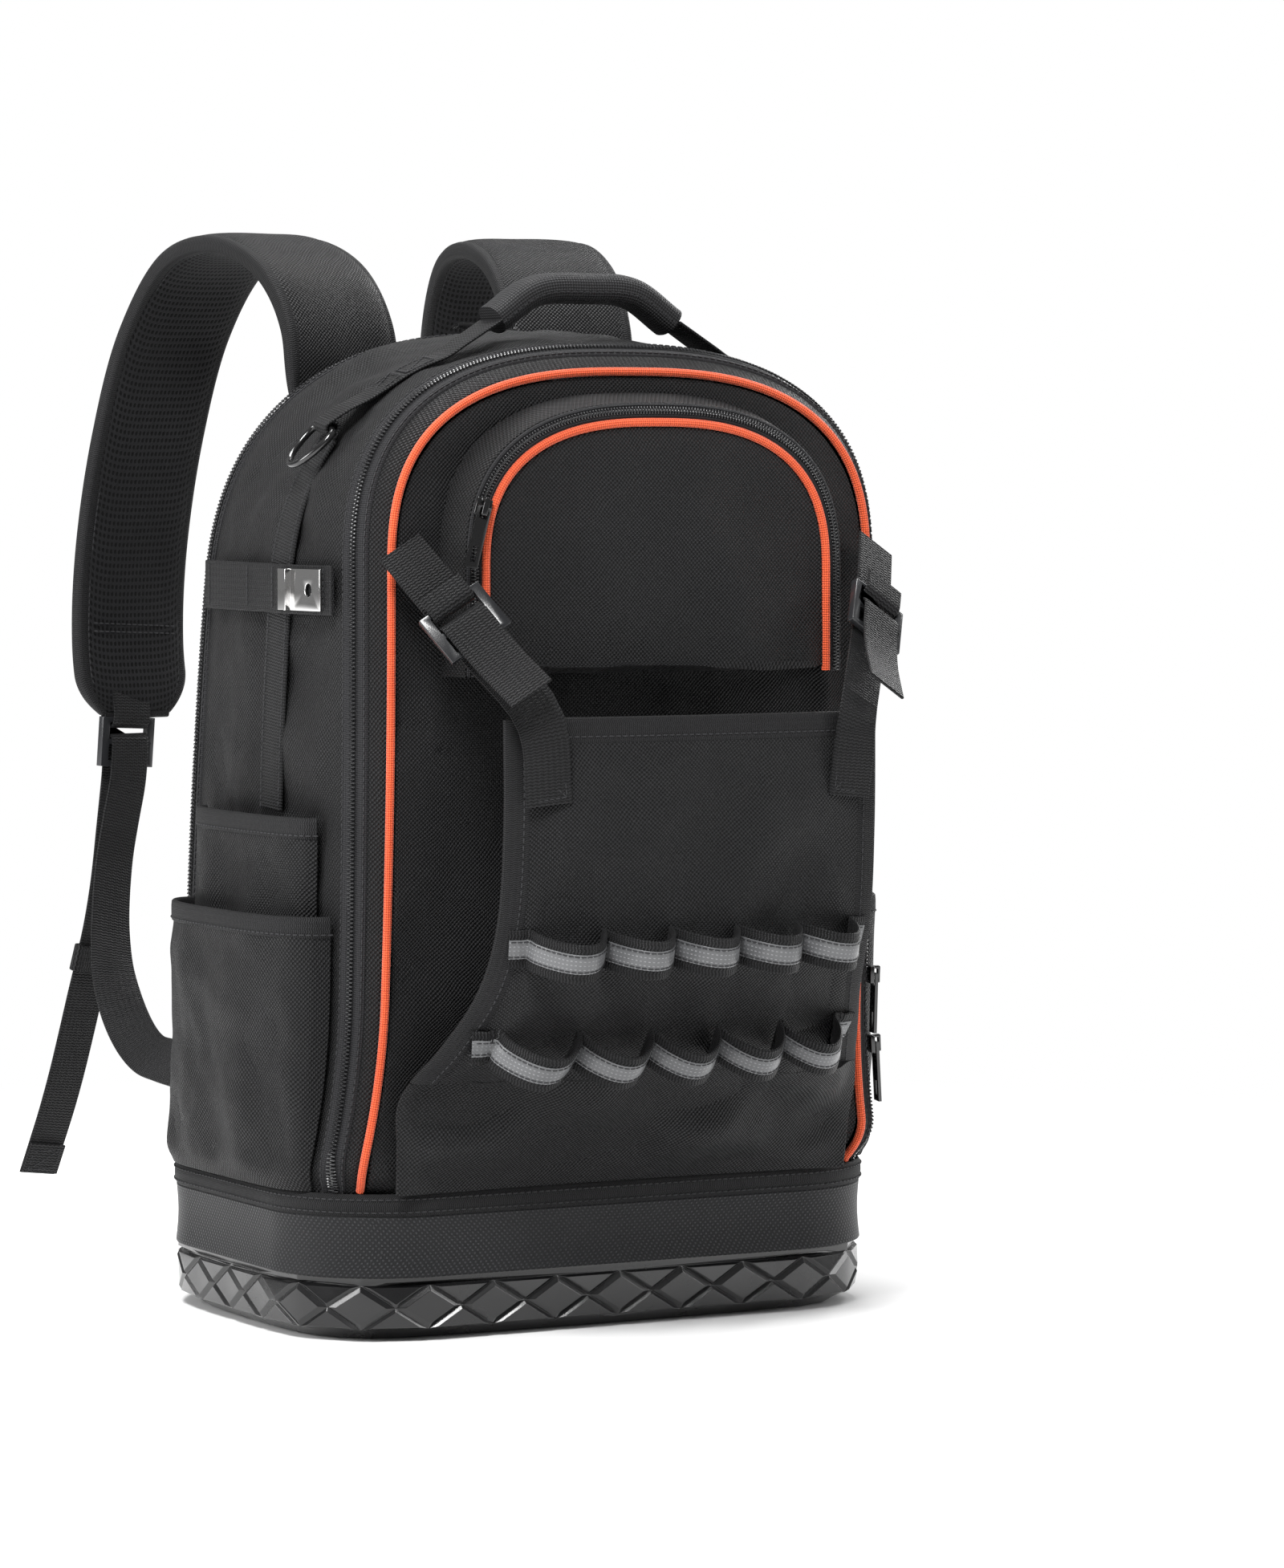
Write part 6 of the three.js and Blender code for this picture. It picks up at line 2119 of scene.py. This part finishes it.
@dataclass(frozen=True)
class BucklePlace:
    """A buckle's own axes: x along the strap, y across it and z outwards."""

    centre: Vector
    x: Vector
    y: Vector
    z: Vector

    @classmethod
    def facing(cls, centre: Vector, along: Vector, outward: Vector) -> "BucklePlace":
        """A place with its x along the strap and its z near outward."""
        x = along.normalized()
        y = outward.cross(x).normalized()
        return cls(centre, x, y, x.cross(y))

    def at(self, u: float, n: float) -> Vector:
        """A point of the buckle's middle plane."""
        return self.centre + self.x * u + self.z * n

    def turn(self, bar: float, side: int) -> Line:
        """Points of webbing that turns back round a bar."""
        return [
            self.at(bar + side * TURN_RADIUS * math.cos(a), TURN_RADIUS * math.sin(a))
            for a in steps(10, -math.pi / 2, math.pi / 2)
        ]


@dataclass
class CinchStraps:
    """The straps that hold the sling's top corners to the body."""

    sling: SlingPocket = field(default_factory=SlingPocket)
    top: float = 400
    spread: float = 0.86
    drop: float = 42
    buckle_share: float = 0.44
    box: tuple[float, float] = (19, 20)

    def build(self) -> None:
        """Makes the anchors, straps and buckles."""
        front = SHAPE.section(1)
        top = Vector((-front.half, SHAPE.depth(front, self.top) - 9, self.top))
        corner = self.sling.point(-self.spread, 1) + Vector((0, -4.5, 0))
        low = self.sling.up(self.sling.top - self.drop)
        end = self.sling.point(0.05 - self.spread, low) + Vector((0, -2.3, 0))
        centre = top.lerp(corner, self.buckle_share) + Vector((-1, -6, 0))
        place = BucklePlace.facing(centre, corner - top, Vector((-0.3, -0.9, 0.3)))
        at = place.at
        loop = [top, at(-26, -TURN_RADIUS), *place.turn(-BAR_SPACING, 1), at(-22, TURN_RADIUS)]
        Workshop.pair("cinch_anchor_web", strap(loop, place.y), STRAP_WEB, "cinch_anchor")
        tail = [at(14, TURN_RADIUS + 0.6), at(30, TURN_RADIUS + 3), at(52, TURN_RADIUS + 9)]
        path = [end, corner, at(16, -TURN_RADIUS), *place.turn(0, -1), *tail]
        Workshop.pair("cinch_strap_web", strap(path, place.y), STRAP_WEB, "cinch_strap")
        run = corner - end
        facing = run.cross(place.y)
        if facing.y > 0:
            facing.negate()
        spot = end.lerp(corner, 0.3) + facing.normalized() * (WEBBING / 2 + 0.1)
        rows = box_stitch(spot, facing.cross(run), run, *self.box)
        sew("cinch_sewn_box", rows, paired=True, pitch=BOX_PITCH)
        for side in Side:
            Workshop.hard(f"cinch_buckle_{side.value}", BUCKLE_PLASTIC, MOULD_EDGE)


@dataclass
class ShoulderStraps:
    """The padded straps that arch from the back, and the webbing below them."""

    width: float = 70
    thickness: float = 13
    reach: float = 177
    foot: float = 122
    end_share: float = 0.07
    end_narrow: float = 0.3
    end_thin: float = 0.45
    patch_at: float = 0.86
    cloth_wall: float = 1.5
    hem_inset: float = 3.2
    hem_width: float = 8.5
    seam_inset: float = 5.5
    flat_axis: Vector = field(default_factory=lambda: Vector((1, 0.25, 0)))
    pad: tuple = (
        (0.45, 0.0, 0.935), (0.455, 0.03, 1.01), (0.48, 0.16, 1.068), (0.525, 0.42, 1.1),
        (0.575, 0.68, 1.085), (0.63, 0.87, 1.01), (0.69, 0.965, 0.896), (0.74, 1.0, 0.768),
        (0.758, 0.989, 0.669), (0.75, 0.955, 0.6),
    )
    rise: tuple = ((0.99, 0.45, 0.25), (0.935, 0.77, 0.32), (0.87, 0.9, 0.42))
    tail: tuple = ((0.86, 0.977, 0.39), (0.914, 1.03, 0.29), (0.975, 1.1, 0.18), (1.04, 1.17, 0.09))

    def along(self, table: Sequence[tuple[float, float, float]]) -> Line:
        """Points of a table of shares: out, back and up."""
        back = SHAPE.section(0)
        sewn = SHAPE.depth(back, self.pad[0][2] * SHAPE.body_height) + self.thickness / 2 + 3
        half, height = SHAPE.body_width / 2, SHAPE.body_height
        return [
            Vector((-out * half, sewn + reach * self.reach, up * height))
            for out, reach, up in table
        ]

    def padding(self, spine: Line) -> None:
        """The pad: outer cloth, mesh next to the wearer and a binding round both edges."""
        axis = Vector((1, 0.2, 0))
        path = smooth_path(spine, 200)
        middle = 0.12 * self.thickness
        outer = [p for p in oval(self.width - 3, self.thickness, 64, 4) if p[1] >= -middle]
        gaps = [math.dist(a, b) for a, b in zip(outer, outer[1:])]
        turn = next(i for i, gap in enumerate(gaps) if gap > self.width / 2) + 1
        outer = [*outer[turn:], *outer[:turn]]
        inner = [(-w, -n) for w, n in outer]
        for name, section, finish, waves in (
            ("shoulder_pad_cloth", outer, FACE_CLOTH, (30, 0.9, 15)),
            ("shoulder_pad_mesh", inner, AIR_MESH, (24, 0.8, 16)),
        ):
            rows = self.rings(path, axis, section)
            quilt = ripple(rows, *waves) * faded(rows.shape[1], 0.2)[None]
            piece = sheet(rows, self.cloth_wall, quilt)
            Workshop.pair(name, piece, finish, "shoulder_pad", padding=0.6)
        self.edges(path, axis)

    def edges(self, path: Line, axis: Vector) -> None:
        """The pad's binding, its seams and the sewn end of the webbing under it."""
        line = array(path)
        tangents, across, normal = line_frames(line, array([axis]))
        hems, seams = Surface(), []
        wide, thick = (scale[:, 0] for scale in self.tapers(len(path)))
        section = oval(self.hem_width, self.thickness * 0.72, 20, 3)
        for hand in (-1, 1):
            edge = line + across * hand * (self.width / 2 * wide - self.hem_inset)
            hems.join(sweep([Vector(p) for p in edge], axis, section, widths=thick[:, 0]))
            row = line + across * hand * (self.width / 2 * wide - self.seam_inset)
            for facing in (-1, 1):
                lift = normal * facing * self.thickness * 0.345 * thick
                seams.append((row + lift, normal * facing))
        for i in (0, -1):
            reach = self.width / 2 * wide[i] - 3
            ends = [Vector(line[i] + across[i] * s * reach) for s in steps(12, -1, 1)]
            section = oval(8, self.thickness * 0.68 * thick[i, 0], 20, 3)
            hems.join(sweep(ends, Vector(tangents[i]), section))
        patch = int(self.patch_at * len(path))
        spread = np.linspace(-0.4, 0.4, 9)[:, None] * self.width
        for facing in (-1, 1):
            for i in (patch, patch + 2):
                out = normal[i] * facing
                row = line[i] + across[i] * spread + out * (self.thickness / 2 + 0.15)
                seams.append((row, np.broadcast_to(out, row.shape)))
        Workshop.pair("shoulder_pad_binding", hems, BINDING_WEB)
        sew("shoulder_pad_seams", seams, paired=True)

    def tapers(self, count: int) -> tuple[Grid, Grid]:
        """How the pad's width and thickness draw in at its ends, as scales along it."""
        t = np.linspace(0, 1, count)[:, None, None]
        near = np.clip(1 - np.minimum(t, 1 - t) / self.end_share, 0, 1) ** 2
        return 1 - self.end_narrow * near * (t > 0.5), 1 - self.end_thin * near

    def rings(self, path: Line, axis: Vector, section: Sequence[tuple[float, float]]) -> Grid:
        """Points of an open section along a line, facing outwards."""
        line = array(path)
        _, across, normal = line_frames(line, array([axis]))
        shape = np.array(section)
        wide, thick = self.tapers(len(line))
        width = across[:, None] * shape[None, :, :1] * wide
        grid = line[:, None] + width + normal[:, None] * shape[None, :, 1:] * thick
        facing = grid_normals(grid)[len(path) // 2, len(section) // 2]
        outward = normal[len(path) // 2] * np.sign(shape[len(section) // 2, 1])
        return grid if facing @ outward > 0 else grid[:, ::-1]

    def build(self) -> None:
        """Makes the shoulder straps."""
        spine = self.along(self.pad)
        self.padding(spine)
        centre = spine[-1] + Vector((-6, -1, -17))
        place = BucklePlace.facing(centre, Vector((-0.06, 0.02, -1)), Vector((-0.25, 1, 0)))
        at = place.at
        bar = -BAR_SPACING
        tab = [at(bar - 16, -1), at(bar - 6, -TURN_RADIUS), *place.turn(bar, 1)]
        tab += [at(bar - 7, TURN_RADIUS), at(bar - 15, 1.5)]
        Workshop.pair("shoulder_tab_web", strap(tab, place.y), STRAP_WEB)
        lift = WEBBING / 2 + CLEARANCE + 1.4
        start = SHAPE.off(0.05, SHAPE.round_at(0.05, self.foot), lift)
        rise = smooth_path([start, *self.along(self.rise), at(20, -TURN_RADIUS)], 10)
        fall = smooth_path([at(18, TURN_RADIUS), *self.along(self.tail)], 10)
        turns = steps(6, -math.pi / 2, math.pi / 2)
        turn = [at(TURN_RADIUS * -math.cos(a), TURN_RADIUS * math.sin(a)) for a in turns]
        path = [*rise, *turn, *fall]
        upright = Vector((0.35, 0.1, 1))
        axes = [upright.lerp(self.flat_axis, min(1, i / 7)) for i in range(len(path))]
        Workshop.pair("shoulder_strap_web", strap(path, axes), STRAP_WEB, "shoulder_webbing")
        self.fittings(fall)
        for side in Side:
            Workshop.hard(f"shoulder_buckle_{side.value}", BUCKLE_PLASTIC, MOULD_EDGE)

    def fittings(self, fall: Line) -> None:
        """The tail's folded tip and the keeper that gathers it."""
        axis = self.flat_axis
        end = fall[-1]
        along = (fall[-2] - end).normalized()
        out = axis.cross(along).normalized()
        fold = [end + out * 1.9 + along * reach for reach in (1, 9, 18)]
        Workshop.pair("strap_tip_fold", strap(fold, axis), STRAP_WEB)
        rows = box_stitch(end + out * 2.8 + along * 9, along, axis, 11, 19)
        sew("strap_tip_box", rows, paired=True, pitch=BOX_PITCH)
        lead = (fall[5] - fall[3]).normalized()
        side = (axis - lead * axis.dot(lead)).normalized()
        facing = side.cross(lead)
        ring = []
        for a in steps(40, 0, math.tau)[:-1]:
            c, s = math.cos(a), math.sin(a)
            reach = math.copysign(abs(c) ** 0.25, c) * (WEB_WIDTH / 2 + 1.4)
            ring.append(fall[4] + side * reach + facing * math.copysign(abs(s) ** 0.7, s) * 2.6)
        keeper = sweep(ring, lead, strap_section(15, 1.4), closed=True)
        Workshop.pair("strap_keeper", keeper, STRAP_WEB)


@dataclass
class Studio:
    """The camera where the photographer stood, a pale floor and soft lights."""

    yaw: float = 28
    pitch: float = 3.6
    distance: float = 3.0
    target: Vector = field(default_factory=lambda: Vector((0, 0, 0.25)))
    sensor: float = 36
    focal_share: float = 3.6284
    shift: tuple[float, float] = (0.0788, 0.0276)
    floor_size: float = 40
    floor_fade: tuple[float, float] = (0.5, 1.1)
    world_light: float = 0.22
    lights: tuple = (
        dict(name="key", place=(-1.2, -1.2, 2.3), size=0.8, power=84),
        dict(name="fill", place=(2.3, -1.5, 1.2), size=0.9, power=17),
        dict(name="top", place=(0.2, 0.5, 2.4), size=1.1, power=48),
        dict(name="rim_left", place=(-2.2, 0.5, 1.0), size=0.9, power=30),
        dict(name="rim_right", place=(2.0, 1.1, 1.4), size=1.0, power=26),
    )

    def direction(self) -> Vector:
        """From the target to the camera."""
        a, e = math.radians(self.yaw), math.radians(self.pitch)
        return Vector((-math.sin(a) * math.cos(e), -math.cos(a) * math.cos(e), math.sin(e)))

    def camera(self) -> None:
        """Sets up the camera."""
        data = bpy.data.cameras.new("photo_camera")
        data.sensor_fit = "VERTICAL"
        data.sensor_height = data.sensor_width = self.sensor
        data.lens = self.sensor * self.focal_share
        data.shift_x, data.shift_y = self.shift
        camera = bpy.data.objects.new("photo_camera", data)
        bpy.context.scene.collection.objects.link(camera)
        camera.location = self.target + self.direction() * self.distance
        camera.rotation_euler = self.direction().to_track_quat("Z", "Y").to_euler()
        bpy.context.scene.camera = camera

    def softbox(self, name: str, place: Sequence[float], size: float, power: float) -> None:
        """A square light that faces the bag."""
        data = bpy.data.lights.new(name, "AREA")
        data.shape, data.size, data.energy = "SQUARE", size, power
        light = bpy.data.objects.new(name, data)
        bpy.context.scene.collection.objects.link(light)
        light.location = place
        aim = Vector(place) - self.target
        light.rotation_euler = aim.to_track_quat("Z", "Y").to_euler()

    def floor(self) -> None:
        """A pale floor that runs on to the horizon all round."""
        bpy.ops.mesh.primitive_plane_add(size=self.floor_size, location=(0, 0, -0.0004))
        obj = bpy.context.active_object
        obj.name = "studio_floor"
        material = bpy.data.materials.new("paper")
        material.use_nodes = True
        tree = Tree(material.node_tree)
        shader = material.node_tree.nodes["Principled BSDF"]
        place = tree.node("ShaderNodeTexCoord").outputs["Object"]
        shade = tree.noise(place, 2.0, 2)
        paper = tree.mix(shade, (0.9, 0.9, 0.9, 1), (0.93, 0.93, 0.93, 1))
        tree.put(paper, shader.inputs["Base Color"])
        shader.inputs["Roughness"].default_value = 0.9
        away = tree.node("ShaderNodeVectorMath", operation="LENGTH")
        tree.put(place, away.inputs[0])
        seen = tree.node("ShaderNodeLightPath").outputs["Is Camera Ray"]
        far = tree.maths("MULTIPLY", tree.ramp(away.outputs["Value"], *self.floor_fade), seen)
        blend = tree.node("ShaderNodeMixShader")
        tree.put(far, blend.inputs[0])
        tree.put(shader.outputs[0], blend.inputs[1])
        tree.put(tree.node("ShaderNodeEmission").outputs[0], blend.inputs[2])
        tree.put(blend.outputs[0], tree.tree.nodes["Material Output"].inputs["Surface"])
        obj.data.materials.append(material)
        obj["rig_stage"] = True

    def build(self) -> None:
        """Sets up the studio."""
        self.camera()
        self.floor()
        for light in self.lights:
            self.softbox(**light)
        world = bpy.data.worlds.new("studio")
        bpy.context.scene.world = world
        world.use_nodes = True
        background = world.node_tree.nodes["Background"]
        background.inputs["Color"].default_value = (1, 1, 1, 1)
        tree = Tree(world.node_tree)
        seen = tree.node("ShaderNodeLightPath").outputs["Is Camera Ray"]
        glow = tree.maths("MULTIPLY_ADD", seen, 1 - self.world_light, self.world_light)
        tree.put(glow, background.inputs["Strength"])
        bpy.context.scene.view_settings.view_transform = "Standard"


def write_sizes(before: tuple[Vector, Vector]) -> None:
    """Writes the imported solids' bounds and the finished object's, for comparison."""
    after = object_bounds()
    rows = {"cad": [list(v) for v in before], "finished": [list(v) for v in after]}
    LOG.info("bounds before %s and after %s", rows["cad"], rows["finished"])


def main() -> None:
    """Builds every sub-assembly of the backpack and the studio."""
    logging.basicConfig(level=logging.INFO, format="%(name)s %(message)s")
    Effects.build()
    for part in (
        RubberBase(),
        BodyShell(),
        UpperPocket(),
        SlingPocket(),
        SidePockets(),
        SideWebbing(),
        Handle(),
        ZipSliders(),
        CinchStraps(),
        ShoulderStraps(),
    ):
        part.build()
    LOG.info("%d pieces", len(Workshop.made))
    Studio().build()
    write_sizes(CAD_BOX)


if __name__ == "__main__":
    main()
